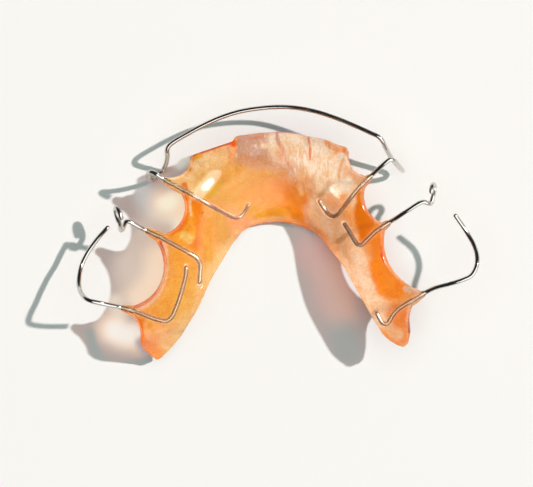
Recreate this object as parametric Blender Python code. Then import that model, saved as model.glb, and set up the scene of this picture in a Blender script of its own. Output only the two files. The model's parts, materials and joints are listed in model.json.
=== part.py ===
"""Upper horseshoe retainer: a cast acrylic palate plate with five bent stainless wires.

The appliance lies as it would on a table, with its tooth side up. X runs across the mouth, +Y points
to the front teeth and +Z points up. All sizes below are in millimetres and become metres through MM.
"""
import math

import bmesh
import bpy
import numpy as np
from mathutils import Matrix, Vector

MM = 0.001

# The arch that the appliance is made to: how wide and how long the acrylic is. The places in the lists
# below are drawn on an arch of the drawn sizes, and on_arch takes them to this one.
ARCH_WIDTH = 46.4
ARCH_LENGTH = 33.2
DRAWN_WIDTH = 46.4
DRAWN_LENGTH = 33.2

# Acrylic plate
RIM_UNDERSIDE = 6.7
RIM_THICKNESS = 2.5
BORDER_THICKNESS = 1.9
TAPER_RUN = 7.0
RIM_ROUNDING = 0.4
ROUNDING_LIMIT = 0.4
VAULT_CENTRE_Y = -1.5
VAULT_FLOOR_RADIUS = 4.6
VAULT_EDGE_RADIUS = 13.2
LEG_END_Y = -14.0
LEG_END_RUN = 4.6
LEG_END_DROP = 5.3
LEG_END_TILT = 0.45
LEG_END_TILT_Y = -12.6
LEG_END_TILT_LENGTH = 2.4
LEG_END_TILT_WIDTH = 4.6

# Each rib of the plate goes from a point on its tooth side to a point on its inner border.
PLATE_RIBS = (
    ((-18.8, -18.6), (-18.1, -18.3)),
    ((-19.8, -17.7), (-17.0, -17.3)),
    ((-20.9, -16.3), (-15.9, -16.2)),
    ((-21.1, -14.6), (-14.9, -15.1)),
    ((-21.5, -12.5), (-13.9, -13.7)),
    ((-22.8, -11.0), (-12.6, -11.8)),
    ((-22.8, -10.2), (-11.8, -10.5)),
    ((-21.4, -4.4), (-9.9, -6.8)),
    ((-18.7, 0.6), (-7.6, -3.3)),
    ((-17.9, 4.8), (-6.2, -1.4)),
    ((-15.8, 8.15), (-5.0, 0.0)),
    ((-14.2, 10.2), (-4.0, 0.6)),
    ((-11.8, 11.8), (-3.0, 0.9)),
    ((-8.7, 12.7), (-2.3, 1.0)),
    ((-5.7, 13.5), (-1.6, 1.1)),
    ((-5.3, 14.2), (-1.4, 1.15)),
    ((-4.6, 14.35), (-1.1, 1.2)),
    ((-2.0, 14.55), (-0.5, 1.2)),
    ((0.7, 14.6), (0.3, 1.2)),
    ((2.9, 14.4), (1.0, 1.1)),
    ((5.5, 13.7), (1.8, 0.95)),
    ((8.1, 13.1), (2.6, 0.75)),
    ((9.6, 12.4), (3.2, 0.6)),
    ((11.2, 11.7), (3.8, 0.4)),
    ((12.2, 10.2), (4.6, 0.0)),
    ((14.0, 6.9), (5.6, -0.5)),
    ((15.8, 3.7), (6.6, -1.3)),
    ((16.4, 0.0), (7.8, -3.0)),
    ((19.5, -4.8), (9.6, -5.6)),
    ((21.1, -9.9), (11.3, -8.9)),
    ((21.1, -10.9), (12.1, -10.5)),
    ((19.5, -14.0), (13.6, -13.5)),
    ((19.3, -16.3), (15.1, -16.3)),
    ((18.9, -17.9), (16.3, -17.5)),
    ((18.2, -18.5), (17.4, -18.2)),
)

# Teeth that the plate is scalloped round: centre across, centre forward, radius at the gum.
TEETH = {
    "second_molar_left": (-24.8, -14.5, 3.8),
    "first_molar_left": (-23.0, -4.2, 6.05),
    "premolar_left": (-17.3, 4.2, 3.9),
    "canine_left": (-15.0, 11.5, 2.8),
    "canine_right": (14.1, 10.1, 2.6),
    "premolar_right": (17.7, 4.1, 4.2),
    "first_molar_right": (23.7, -2.9, 7.6),
    "second_molar_right": (23.6, -14.6, 4.3),
}
TOOTH_FLARE = 0.5

# Incisors that lean over the front edge: the edge point at the tooth's middle, and half its width.
# Their backs meet the plate below an upright strip that keeps the front edge whole.
INCISORS = {
    "lateral_incisor_left": (-8.75, 12.65, 2.8),
    "central_incisor_left": (-2.3, 14.5, 2.7),
    "central_incisor_right": (3.1, 14.3, 2.15),
    "lateral_incisor_right": (8.05, 13.05, 2.4),
}
INCISOR_DEPTH = 0.7
INCISOR_LEAN = math.radians(55.0)
INCISOR_REACH = 9.0
FRONT_EDGE_HEIGHT = 0.6
LEAN_CENTRE_Y = -15.0

# Wires
WIRE_DIAMETER = 0.7
EMBED_CLEARANCE = 0.2
COLLAR_WALL = 0.3
COLLAR_LENGTH = 4.6
TAIL_LEVEL = 0.52

# Labial bow: both tails lie in the plate, the rest is free.
BOW_TAIL_LEFT = (
    (-3.8, 4.2), (-4.5, 3.1), (-5.15, 2.4), (-6.0, 2.2), (-7.3, 2.8), (-9.6, 4.2), (-11.7, 5.6),
    (-13.9, 7.0), (-15.6, 8.0), (-16.5, 8.6),
)
BOW_FREE = (
    (-17.25, 9.15, 8.4), (-17.9, 9.55, 8.25), (-18.45, 9.5, 7.6), (-18.6, 9.0, 6.0),
    (-18.5, 8.5, 3.4), (-18.2, 8.4, 1.5), (-17.6, 8.75, 0.55), (-17.0, 9.3, 0.4), (-16.4, 9.9, 0.8),
    (-15.9, 10.8, 2.3), (-15.6, 11.9, 4.2), (-15.6, 12.7, 5.2), (-15.3, 13.35, 5.45), (-14.6, 13.9, 5.4),
    (-12.7, 14.9, 5.4), (-10.4, 16.0, 5.5), (-7.4, 17.2, 5.6), (-4.5, 17.95, 5.8), (-1.4, 18.3, 5.9),
    (1.2, 18.35, 6.0), (3.9, 18.1, 6.1), (6.8, 17.4, 6.3), (9.7, 16.3, 6.5), (12.7, 14.9, 6.6),
    (15.0, 13.7, 6.7), (16.1, 13.1, 6.7), (16.6, 12.5, 6.5), (17.1, 11.4, 5.5), (17.8, 10.1, 3.9),
    (18.6, 8.95, 2.6), (19.15, 8.3, 2.2), (19.5, 7.95, 2.6), (19.5, 7.9, 3.6), (19.15, 8.3, 5.5),
    (18.6, 8.95, 7.6), (18.1, 9.45, 8.9), (17.5, 9.55, 9.3), (16.8, 9.1, 9.2), (15.8, 8.3, 8.7),
)
BOW_TAIL_RIGHT = (
    (14.8, 7.45), (14.1, 6.85), (13.2, 6.1), (11.7, 4.5), (10.2, 2.7), (9.6, 1.95), (8.9, 1.65),
    (8.2, 2.0), (7.6, 2.8), (6.8, 4.3),
)

# Eyelet clasps: a tail in the plate, a straight arm between two teeth and a ring at the end.
EYELET_TAIL_LEFT = (
    (-11.8, -7.5), (-11.6, -5.8), (-11.5, -4.5), (-11.95, -3.6), (-13.0, -2.8), (-14.6, -1.8),
    (-16.3, -0.75), (-18.4, 0.45), (-19.5, 1.05),
)
EYELET_ARM_LEFT = (
    (-20.3, 1.5, 8.6), (-21.5, 2.25, 9.2), (-22.1, 2.4, 9.25), (-22.45, 1.9, 8.8),
    (-22.75, 1.35, 8.0), (-23.05, 1.2, 7.0),
)
EYELET_RING_LEFT = {"centre": (-23.3, 3.3, 6.5), "along": (0.31, -1.26, 0.0), "across": (0.29, 0.07, 0.71)}
EYELET_TAIL_RIGHT = (
    (10.3, 0.6), (11.0, -0.75), (11.65, -2.05), (12.1, -2.75), (12.75, -2.85), (13.35, -2.35),
    (14.9, -1.0), (16.0, -0.35), (17.2, 0.35),
)
EYELET_ARM_RIGHT = (
    (18.1, 0.85, 8.6), (19.7, 1.8, 9.3), (21.7, 2.9, 9.7), (22.3, 3.0, 9.65), (22.85, 2.75, 9.3),
    (23.3, 2.75, 8.8),
)
EYELET_RING_RIGHT = {"centre": (23.7, 4.7, 9.05), "along": (-0.12, -0.85, 0.0), "across": (-0.26, -0.04, 0.8)}
RING_START = -40.0
RING_END = -305.0

# C clasps: a tail in the plate, then round the back of the molar to a free end on its cheek side.
C_TAIL_LEFT = (
    (-13.6, -4.6), (-13.7, -5.9), (-14.0, -7.0), (-14.6, -8.8), (-15.4, -10.8), (-16.2, -12.2),
    (-17.0, -12.7), (-18.2, -12.45), (-19.8, -11.8), (-21.5, -11.05), (-23.0, -10.55), (-23.8, -10.3),
)
C_FREE_LEFT = (
    (-24.7, -10.05, 8.6), (-26.7, -9.5, 9.6), (-28.4, -8.95, 9.7), (-29.3, -8.1, 8.6),
    (-29.7, -7.0, 7.3), (-29.7, -5.7, 6.5), (-29.2, -3.7, 5.7), (-28.2, -1.9, 5.4), (-26.6, 0.1, 6.0),
    (-24.8, 1.9, 6.9),
)
C_TAIL_RIGHT = (
    (14.35, -12.95), (14.8, -14.0), (15.3, -14.75), (15.95, -14.8), (16.45, -14.1), (17.0, -13.35),
    (17.95, -12.55), (19.5, -11.7), (21.0, -10.9), (22.0, -10.4),
)
C_FREE_RIGHT = (
    (23.5, -9.8, 8.9), (25.3, -9.4, 9.7), (27.3, -8.9, 10.05), (28.7, -8.3, 10.0),
    (29.5, -7.1, 9.9), (29.75, -5.6, 9.5), (29.4, -3.8, 8.5), (28.3, -1.6, 8.0), (26.7, 1.0, 8.8),
)

# Finishes: base colour, roughness and metallic value
ACRYLIC_FINISH = ((0.93, 0.36, 0.06, 1.0), 0.22, 0.0)
STEEL_FINISH = ((0.62, 0.62, 0.60, 1.0), 0.2, 1.0)

# How finely curves are drawn
TOOTH_SIDES = 48
SAMPLE_STEP = 0.1
WIRE_TURN_STEP = math.radians(11.0)
WIRE_LONGEST_STEP = 2.5
SHORTEST_STEP_SHARE = 0.3
PLATE_COLUMN_STEP = 1.5
PLATE_INNER_ROWS = 7
ROUNDING_STEPS = 3
CUT_OVERRUN = 0.8
SOCKET_OVERRUN = 2.4
RING_STEP = 30.0
SHARP_ANGLE = 35.0
WELD_DISTANCE = 0.00001


def smoothstep(value):
    """Blend from 0 to 1 with no kink at either end."""
    value = min(max(value, 0.0), 1.0)
    return value * value * (3.0 - 2.0 * value)


def smooth_curve(points, step):
    """Points at about one step along a smooth curve through the given points."""
    guides = with_end_guides(points)
    samples = []
    for control in zip(guides, guides[1:], guides[2:], guides[3:]):
        count = max(int(np.linalg.norm(control[2] - control[1]) / step), 2)
        samples += [curve_point(control, index / count) for index in range(count)]
    samples.append(guides[-2])
    return samples


def with_end_guides(points):
    """The points as arrays, with one more guide point before the first and after the last."""
    guides = [np.array(point, dtype=float) for point in points]
    return [2 * guides[0] - guides[1]] + guides + [2 * guides[-1] - guides[-2]]


def curve_point(control, share):
    """The point at a share of the way between the two middle points of four, on a smooth curve."""
    knots = [0.0]
    for near, far in zip(control, control[1:]):
        knots.append(knots[-1] + math.sqrt(np.linalg.norm(far - near)))
    place = knots[1] + (knots[2] - knots[1]) * share
    spans = (((0, 1), (1, 2), (2, 3)), ((0, 2), (1, 3)), ((1, 2),))
    level = list(control)
    for level_spans in spans:
        blended = []
        for index, (low, high) in enumerate(level_spans):
            blend = (place - knots[low]) / (knots[high] - knots[low])
            blended.append((1.0 - blend) * level[index] + blend * level[index + 1])
        level = blended
    return level[0]


def thin_points(points, shortest_step):
    """The points needed to draw a curve, closer together where it bends more."""
    kept = [points[0]]
    heading = points[1] - points[0]
    for point, following in zip(points[1:-1], points[2:]):
        leaving = following - point
        cosine = float(np.dot(heading, leaving) / (np.linalg.norm(heading) * np.linalg.norm(leaving)))
        turned = math.acos(min(max(cosine, -1.0), 1.0))
        run = np.linalg.norm(point - kept[-1])
        if run >= shortest_step and (turned >= WIRE_TURN_STEP or run >= WIRE_LONGEST_STEP):
            kept.append(point)
            heading = leaving
    if np.linalg.norm(points[-1] - kept[-1]) < shortest_step and len(kept) > 1:
        kept.pop()
    kept.append(points[-1])
    return kept


def on_arch(x, y):
    """Where a drawn place lies across and along the arch."""
    return x * ARCH_WIDTH / DRAWN_WIDTH, y * ARCH_LENGTH / DRAWN_LENGTH


RIBS = [(np.array(on_arch(*outer)), np.array(on_arch(*inner))) for outer, inner in PLATE_RIBS]
BORDER_LINE = np.array(smooth_curve([inner for _, inner in RIBS], PLATE_COLUMN_STEP))


def border_distance(x, y):
    """Distance across from a point to the inner border of the plate."""
    starts = BORDER_LINE[:-1]
    runs = BORDER_LINE[1:] - starts
    offsets = np.array((x, y)) - starts
    shares = np.clip(np.sum(offsets * runs, axis=1) / np.sum(runs * runs, axis=1), 0.0, 1.0)
    gaps = offsets - runs * shares[:, None]
    return float(np.sqrt(np.sum(gaps * gaps, axis=1)).min())


def vault_rise(x, y):
    """How far up the slope of the vault a point is: 0 on its floor and 1 at the gum level."""
    reach = math.hypot(x, max(y - VAULT_CENTRE_Y, 0.0))
    rise = (reach - VAULT_FLOOR_RADIUS) / (VAULT_EDGE_RADIUS - VAULT_FLOOR_RADIUS)
    return min(max(rise, 0.0), 1.0)


def leg_end_height(x, y):
    """Share of its height that the underside keeps: less at the left leg's end and its inner border."""
    if x > 0.0 or y > LEG_END_TILT_Y:
        return 1.0
    along = min(max((LEG_END_Y - y) / LEG_END_RUN, 0.0), 1.0)
    bend = LEG_END_DROP / RIM_UNDERSIDE * along**1.5
    inward = 1.0 - smoothstep(border_distance(x, y) / LEG_END_TILT_WIDTH)
    tilt = LEG_END_TILT * inward * smoothstep((LEG_END_TILT_Y - y) / LEG_END_TILT_LENGTH)
    return (1.0 - bend) * (1.0 - tilt)


def underside_height(x, y):
    """Height of the palate side, which bends down at the end of the left leg."""
    return RIM_UNDERSIDE * smoothstep(vault_rise(x, y)) * leg_end_height(x, y)


def plate_thickness(x, y):
    """Upright thickness: thin at the inner border, full at the teeth, and more where the vault is steep."""
    share = smoothstep(border_distance(x, y) / TAPER_RUN)
    wall = BORDER_THICKNESS + (RIM_THICKNESS - BORDER_THICKNESS) * share
    rise = vault_rise(x, y)
    slope = RIM_UNDERSIDE * 6.0 * rise * (1.0 - rise) / (VAULT_EDGE_RADIUS - VAULT_FLOOR_RADIUS)
    return wall * math.hypot(1.0, slope)


def tail_point(point):
    """A point of a wire's tail, set inside the thickness of the plate."""
    x, y = on_arch(*point)
    return (x, y, underside_height(x, y) + TAIL_LEVEL * plate_thickness(x, y))


def free_point(point):
    """A point of a wire outside the plate."""
    return (*on_arch(*point[:2]), point[2])


def quarter_round(step):
    """How far along and how far out a quarter circle of radius 1 has come at a step."""
    angle = 0.5 * math.pi * step / ROUNDING_STEPS
    return 1.0 - math.cos(angle), math.sin(angle)


def plate_section(outer, inner):
    """The closed outline of one rib of the plate, from its inner border over the top and back."""
    width = float(np.linalg.norm(outer - inner))
    across = (outer - inner) / width
    half_border = 0.5 * plate_thickness(*inner)
    border_run = min(half_border, ROUNDING_LIMIT * width)
    rim_run = min(RIM_ROUNDING, ROUNDING_LIMIT * width)
    places = []
    for step in range(1, ROUNDING_STEPS + 1):
        along, out = quarter_round(step)
        places.append((border_run * along, half_border * (1.0 - out)))
    for row in range(1, PLATE_INNER_ROWS):
        places.append((border_run + (width - border_run - rim_run) * row / PLATE_INNER_ROWS, 0.0))
    for step in range(ROUNDING_STEPS, -1, -1):
        along, out = quarter_round(step)
        places.append((width - rim_run * along, rim_run * (1.0 - out)))
    top, bottom = [], []
    for distance, drop in places:
        x, y = inner + across * distance
        low = underside_height(x, y)
        high = low + plate_thickness(x, y)
        top.append((x, y, high - drop))
        bottom.append((x, y, low + drop))
    border = (inner[0], inner[1], underside_height(*inner) + half_border)
    return [border] + top + bottom[::-1]


def plate_sections():
    """Every rib outline of the plate, from the left leg round the front to the right leg."""
    guides = with_end_guides([inner for _, inner in RIBS])
    outers = [outer for outer, _ in RIBS]
    sections = []
    for index, (outer, following) in enumerate(zip(outers, outers[1:])):
        columns = max(math.ceil(np.linalg.norm(following - outer) / PLATE_COLUMN_STEP), 1)
        for column in range(columns):
            share = column / columns
            inner = curve_point(guides[index : index + 4], share)
            sections.append(plate_section(outer + (following - outer) * share, inner))
    sections.append(plate_section(*RIBS[-1]))
    return sections


def ring_points(ring):
    """The turn of wire at the end of an eyelet clasp, left open where it comes back to the arm."""
    centre, along, across = (np.array(ring[key]) for key in ("centre", "along", "across"))
    steps = max(int((RING_START - RING_END) / RING_STEP), 4)
    points = []
    for step in range(steps + 1):
        angle = math.radians(RING_START + (RING_END - RING_START) * step / steps)
        points.append(tuple(centre + along * math.cos(angle) + across * math.sin(angle)))
    return tuple(points)


def wire_paths():
    """For each wire: its fine path, and the stretches of it in the plate, each ending where it leaves."""
    eyelet_left = EYELET_ARM_LEFT + ring_points(EYELET_RING_LEFT)
    eyelet_right = EYELET_ARM_RIGHT + ring_points(EYELET_RING_RIGHT)
    shapes = {
        "labial_bow": (BOW_TAIL_LEFT, BOW_FREE, BOW_TAIL_RIGHT),
        "eyelet_clasp_left": (EYELET_TAIL_LEFT, eyelet_left, ()),
        "eyelet_clasp_right": (EYELET_TAIL_RIGHT, eyelet_right, ()),
        "c_clasp_left": (C_TAIL_LEFT, C_FREE_LEFT, ()),
        "c_clasp_right": (C_TAIL_RIGHT, C_FREE_RIGHT, ()),
    }
    paths = {}
    for name, (tail, free, far_tail) in shapes.items():
        route = [tail_point(point) for point in tail]
        route += [free_point(point) for point in free]
        route += [tail_point(point) for point in far_tail]
        path = smooth_curve(route, SAMPLE_STEP)
        buried = [path[: nearest_index(path, route[len(tail) - 1]) + 1]]
        if far_tail:
            buried.append(path[nearest_index(path, route[-len(far_tail)]) :][::-1])
        paths[name] = (path, buried)
    return paths


def nearest_index(path, point):
    """Index of the path point closest to a given point."""
    gaps = [float(np.linalg.norm(place - np.array(point))) for place in path]
    return gaps.index(min(gaps))


def stretched(path, at_start, at_end):
    """The path made longer by straight pieces at its two ends."""
    start_step = (path[0] - path[1]) / np.linalg.norm(path[0] - path[1])
    end_step = (path[-1] - path[-2]) / np.linalg.norm(path[-1] - path[-2])
    return [path[0] + start_step * at_start] + list(path[1:-1]) + [path[-1] + end_step * at_end]


def end_stretch(path, length):
    """The last stretch of a path, of about the given length."""
    kept = [path[-1]]
    for point in path[-2::-1]:
        kept.append(point)
        if np.linalg.norm(point - path[-1]) >= length:
            break
    return kept[::-1]


def clear_scene():
    """Start from an empty scene."""
    for item in list(bpy.data.objects):
        bpy.data.objects.remove(item, do_unlink=True)


def new_collection(name):
    """A collection in the scene."""
    collection = bpy.data.collections.new(name)
    bpy.context.scene.collection.children.link(collection)
    return collection


def new_material(name, finish):
    """A material from a base colour, a roughness and a metallic value."""
    colour, roughness, metallic = finish
    material = bpy.data.materials.new(name)
    material.use_nodes = True
    shader = material.node_tree.nodes["Principled BSDF"]
    shader.inputs["Base Color"].default_value = colour
    shader.inputs["Roughness"].default_value = roughness
    shader.inputs["Metallic"].default_value = metallic
    return material


def mesh_object(name, shape, collection):
    """An object made from a finished bmesh, which is freed."""
    mesh = bpy.data.meshes.new(name)
    shape.to_mesh(mesh)
    shape.free()
    item = bpy.data.objects.new(name, mesh)
    collection.objects.link(item)
    return item


def tube_curve(name, path, diameter, collection):
    """A round wire as a curve with filled ends."""
    curve = bpy.data.curves.new(name, "CURVE")
    curve.dimensions = "3D"
    curve.bevel_depth = 0.5 * diameter * MM
    curve.bevel_resolution = 2
    curve.use_fill_caps = True
    curve.twist_mode = "MINIMUM"
    points = thin_points(path, SHORTEST_STEP_SHARE * diameter)
    spline = curve.splines.new("POLY")
    spline.points.add(len(points) - 1)
    for place, point in zip(spline.points, points):
        place.co = (*(Vector(point) * MM), 1.0)
    item = bpy.data.objects.new(name, curve)
    collection.objects.link(item)
    return item


def tube_cutter(name, path, diameter, collection):
    """A closed round mesh along a path, for joining to the plate or cutting from it."""
    curve_object = tube_curve(name + "_guide", path, diameter, collection)
    bpy.context.view_layer.update()
    evaluated = curve_object.evaluated_get(bpy.context.evaluated_depsgraph_get())
    mesh = bpy.data.meshes.new_from_object(evaluated)
    shape = bmesh.new()
    shape.from_mesh(mesh)
    bmesh.ops.remove_doubles(shape, verts=shape.verts, dist=WELD_DISTANCE)
    bmesh.ops.recalc_face_normals(shape, faces=shape.faces)
    shape.to_mesh(mesh)
    shape.free()
    item = bpy.data.objects.new(name, mesh)
    item.matrix_world = curve_object.matrix_world
    collection.objects.link(item)
    bpy.data.objects.remove(curve_object, do_unlink=True)
    return as_cutter(item)


def as_cutter(item):
    """Mark an object as a guide that isn't part of the appliance."""
    item.hide_render = True
    item.display_type = "WIRE"
    return item


def tooth_cutter(name, tooth, collection):
    """The lower crown of a tooth, a little wider towards its top."""
    x, y = on_arch(*tooth[:2])
    radius = tooth[2]
    height = RIM_UNDERSIDE + RIM_THICKNESS
    flare = TOOTH_FLARE / RIM_THICKNESS
    shape = bmesh.new()
    bmesh.ops.create_cone(
        shape,
        cap_ends=True,
        segments=TOOTH_SIDES,
        radius1=(radius - flare * SOCKET_OVERRUN) * MM,
        radius2=(radius + flare * (RIM_THICKNESS + SOCKET_OVERRUN)) * MM,
        depth=(RIM_THICKNESS + 2.0 * SOCKET_OVERRUN) * MM,
    )
    middle = height - 0.5 * RIM_THICKNESS
    bmesh.ops.translate(shape, verts=shape.verts, vec=Vector((x, y, middle)) * MM)
    return as_cutter(mesh_object(name, shape, collection))


def incisor_cutter(name, tooth, collection):
    """The back of an incisor's crown, which leans forward over the front edge of the plate."""
    x, y = on_arch(*tooth[:2])
    half_width = tooth[2]
    outward = Vector((x, y - LEAN_CENTRE_Y, 0.0)).normalized()
    shape = bmesh.new()
    bmesh.ops.create_cone(
        shape,
        cap_ends=True,
        segments=TOOTH_SIDES,
        radius1=half_width * MM,
        radius2=half_width * MM,
        depth=2.0 * INCISOR_REACH * MM,
    )
    bmesh.ops.scale(shape, verts=shape.verts, vec=(1.0, INCISOR_DEPTH / half_width, 1.0))
    cheek_side = [vert for vert in shape.verts if vert.co.y > WELD_DISTANCE]
    bmesh.ops.translate(shape, verts=cheek_side, vec=(0.0, INCISOR_REACH * MM, 0.0))
    lean = Matrix.Rotation(-INCISOR_LEAN, 3, "X")
    turn = Matrix.Rotation(-math.atan2(outward.x, outward.y), 3, "Z")
    bmesh.ops.rotate(shape, verts=shape.verts, cent=(0.0, 0.0, 0.0), matrix=turn @ lean)
    edge = Vector((x, y, RIM_UNDERSIDE + RIM_THICKNESS - FRONT_EDGE_HEIGHT))
    middle = edge + outward * (INCISOR_DEPTH / math.cos(INCISOR_LEAN))
    bmesh.ops.translate(shape, verts=shape.verts, vec=middle * MM)
    return as_cutter(mesh_object(name, shape, collection))


def plate_blank(collection):
    """The plate before it is scalloped: a loft through its rib outlines, closed at both leg ends."""
    shape = bmesh.new()
    rings = [[shape.verts.new(Vector(point) * MM) for point in section] for section in plate_sections()]
    for ring, following in zip(rings, rings[1:]):
        for index in range(len(ring)):
            after = (index + 1) % len(ring)
            shape.faces.new((ring[index], ring[after], following[after], following[index]))
    shape.faces.new(rings[0][::-1])
    shape.faces.new(rings[-1])
    bmesh.ops.recalc_face_normals(shape, faces=shape.faces)
    return mesh_object("base_plate", shape, collection)


def add_boolean(item, name, operation, cutters):
    """Cut a collection of solids from an object, or join them to it."""
    modifier = item.modifiers.new(name, "BOOLEAN")
    modifier.operation = operation
    modifier.solver = "EXACT"
    modifier.operand_type = "COLLECTION"
    modifier.collection = cutters


def shade_round(mesh):
    """Shade a mesh smooth, with its sharp edges kept."""
    mesh.shade_smooth()
    mesh.set_sharp_from_angle(angle=math.radians(SHARP_ANGLE))


def build_base_plate(paths, appliance):
    """The acrylic plate, scalloped round the teeth and cast round the tails of the wires."""
    plate = plate_blank(appliance)
    teeth = new_collection("tooth_cutters")
    collars = new_collection("wire_collars")
    channels = new_collection("wire_channels")
    channel_diameter = WIRE_DIAMETER + 2.0 * EMBED_CLEARANCE
    collar_diameter = channel_diameter + 2.0 * COLLAR_WALL
    for name, tooth in TEETH.items():
        tooth_cutter(name + "_socket", tooth, teeth)
    for name, tooth in INCISORS.items():
        incisor_cutter(name + "_socket", tooth, teeth)
    for name, (_, buried) in paths.items():
        for index, path in enumerate(buried):
            label = f"{name}_{index}"
            tube_cutter(label + "_collar", end_stretch(path, COLLAR_LENGTH), collar_diameter, collars)
            channel = stretched(path, EMBED_CLEARANCE, CUT_OVERRUN)
            tube_cutter(label + "_channel", channel, channel_diameter, channels)
    add_boolean(plate, "scallops", "DIFFERENCE", teeth)
    add_boolean(plate, "collars", "UNION", collars)
    add_boolean(plate, "channels", "DIFFERENCE", channels)
    shade_round(plate.data)
    plate.data.materials.append(new_material("cast_acrylic", ACRYLIC_FINISH))


def build_wires(paths, appliance):
    """The labial bow and the four clasps, each one bent wire."""
    for name, (path, _) in paths.items():
        wire = tube_curve(name, path, WIRE_DIAMETER, appliance)
        wire.data.materials.append(new_material(name + "_steel", STEEL_FINISH))


def main():
    """Build the retainer."""
    clear_scene()
    appliance = new_collection("hawley_retainer")
    paths = wire_paths()
    build_base_plate(paths, appliance)
    build_wires(paths, appliance)


main()
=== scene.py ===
"""Looks of an upper retainer: a cast acrylic palate plate with a wire bow and four wire clasps.

All sizes are in millimetres unless they say otherwise, and become metres through MM. X runs across the
mouth, +Y points to the front teeth and +Z is up, out of the tooth side, as in the fixed frame.
"""
import json
import logging
import math
from dataclasses import dataclass, field
from enum import Enum
from typing import Sequence

import bmesh
import bpy
import numpy as np
from mathutils import Matrix, Vector, noise

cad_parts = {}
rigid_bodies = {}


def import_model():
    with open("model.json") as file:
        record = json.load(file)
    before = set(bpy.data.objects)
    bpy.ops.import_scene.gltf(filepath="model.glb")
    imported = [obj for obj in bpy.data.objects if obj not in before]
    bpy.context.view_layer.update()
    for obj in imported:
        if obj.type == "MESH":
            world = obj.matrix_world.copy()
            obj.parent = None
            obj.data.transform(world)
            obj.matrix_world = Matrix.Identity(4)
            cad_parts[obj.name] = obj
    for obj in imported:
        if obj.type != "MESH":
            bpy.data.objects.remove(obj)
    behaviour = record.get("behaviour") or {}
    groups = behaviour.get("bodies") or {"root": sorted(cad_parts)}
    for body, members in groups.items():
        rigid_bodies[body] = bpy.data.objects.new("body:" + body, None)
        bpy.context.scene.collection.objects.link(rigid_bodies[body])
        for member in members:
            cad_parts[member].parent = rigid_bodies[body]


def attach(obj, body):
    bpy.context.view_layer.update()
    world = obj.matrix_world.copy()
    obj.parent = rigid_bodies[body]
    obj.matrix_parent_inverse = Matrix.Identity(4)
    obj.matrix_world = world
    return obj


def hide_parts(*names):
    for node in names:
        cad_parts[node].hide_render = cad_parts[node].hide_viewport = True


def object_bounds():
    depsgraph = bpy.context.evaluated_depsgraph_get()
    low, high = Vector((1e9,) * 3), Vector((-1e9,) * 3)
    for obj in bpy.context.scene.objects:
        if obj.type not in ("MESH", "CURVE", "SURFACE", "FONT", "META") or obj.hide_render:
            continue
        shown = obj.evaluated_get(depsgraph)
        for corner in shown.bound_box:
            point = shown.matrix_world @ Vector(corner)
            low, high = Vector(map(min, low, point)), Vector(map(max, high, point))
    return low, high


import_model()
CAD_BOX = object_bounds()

MM = 0.001
BODY = "root"
LOG = logging.getLogger("retainer")
WHITE = "#FFFFFF"

Tree = bpy.types.NodeTree
Socket = bpy.types.NodeSocket
Material = bpy.types.Material
Item = bpy.types.Object
Shape = bmesh.types.BMesh
Ring = list[bmesh.types.BMVert]
Pair = tuple[float, float]
Place = tuple[float, float, float]
Colour = tuple[float, float, float, float]

UP = Vector((0.0, 0.0, 1.0))

# Names of the attributes that the meshes carry for their finishes.
WIRE_PLACE = "wire_place"
BURIED = "buried"
CLEARNESS = "clearness"
FOLDED = "folded"
OVER_WIRE = "over_wire"


class MaterialSlot(Enum):
    """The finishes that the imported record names."""

    ACRYLIC = "acrylic"
    WIRE = "wire"


def linear(colour: str) -> Colour:
    """Turn an sRGB hex colour to linear light.

    Args:
        colour: six hex digits after a hash sign.

    Returns:
        Red, green, blue and an alpha of 1.
    """
    shares = [int(colour[place : place + 2], 16) / 255.0 for place in (1, 3, 5)]
    red, green, blue = (
        share / 12.92 if share <= 0.04045 else ((share + 0.055) / 1.055) ** 2.4 for share in shares
    )
    return red, green, blue, 1.0


def add_node(
    tree: Tree,
    kind: str,
    settings: dict[str, object] | None = None,
    inputs: dict[str | int, object] | None = None,
) -> bpy.types.Node:
    """Add a node with its settings, and fill its sockets with values or links.

    Args:
        tree: the node tree it goes in.
        kind: the node's type name.
        settings: the node's own properties.
        inputs: a value or another node's output for each socket.

    Returns:
        The new node.
    """
    node = tree.nodes.new(kind)
    for name, value in (settings or {}).items():
        setattr(node, name, value)
    for key, value in (inputs or {}).items():
        if isinstance(value, Socket):
            tree.links.new(value, node.inputs[key])
        else:
            node.inputs[key].default_value = value
    return node


def attribute(tree: Tree, name: str, output: str = "Fac") -> Socket:
    """An attribute of the mesh at the place that is shaded."""
    return add_node(tree, "ShaderNodeAttribute", {"attribute_name": name}).outputs[output]


def computed(tree: Tree, operation: str, first: object, second: object) -> Socket:
    """The result of one operation on two values."""
    return add_node(tree, "ShaderNodeMath", {"operation": operation}, {0: first, 1: second}).outputs[0]


def mixed(
    tree: Tree, share: object, low: object, high: object, blend: str = "MIX"
) -> Socket:
    """The colour that a share of one colour over another gives."""
    settings = {"data_type": "RGBA", "blend_type": blend}
    return add_node(tree, "ShaderNodeMix", settings, {0: share, 6: low, 7: high}).outputs[2]


def ranged(
    tree: Tree,
    value: Socket,
    old: Pair = (0.0, 1.0),
    new: Pair = (0.0, 1.0),
    blend: str = "LINEAR",
) -> Socket:
    """Carry a value over from one range to another.

    Args:
        tree: the node tree.
        value: the value.
        old: the ends of the range that it is in.
        new: what those ends become.
        blend: how it runs between them.

    Returns:
        The new value.
    """
    inputs = {"Value": value, "From Min": old[0], "From Max": old[1], "To Min": new[0], "To Max": new[1]}
    return add_node(tree, "ShaderNodeMapRange", {"interpolation_type": blend}, inputs).outputs["Result"]


def grained(
    tree: Tree, place: Socket, size: float, detail: float, curl: float = 0.0
) -> Socket:
    """A noise with grains of one size, which curl makes run into each other."""
    inputs = {"Vector": place, "Scale": 1.0 / size, "Detail": detail, "Distortion": curl}
    return add_node(tree, "ShaderNodeTexNoise", inputs=inputs).outputs["Fac"]


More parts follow.
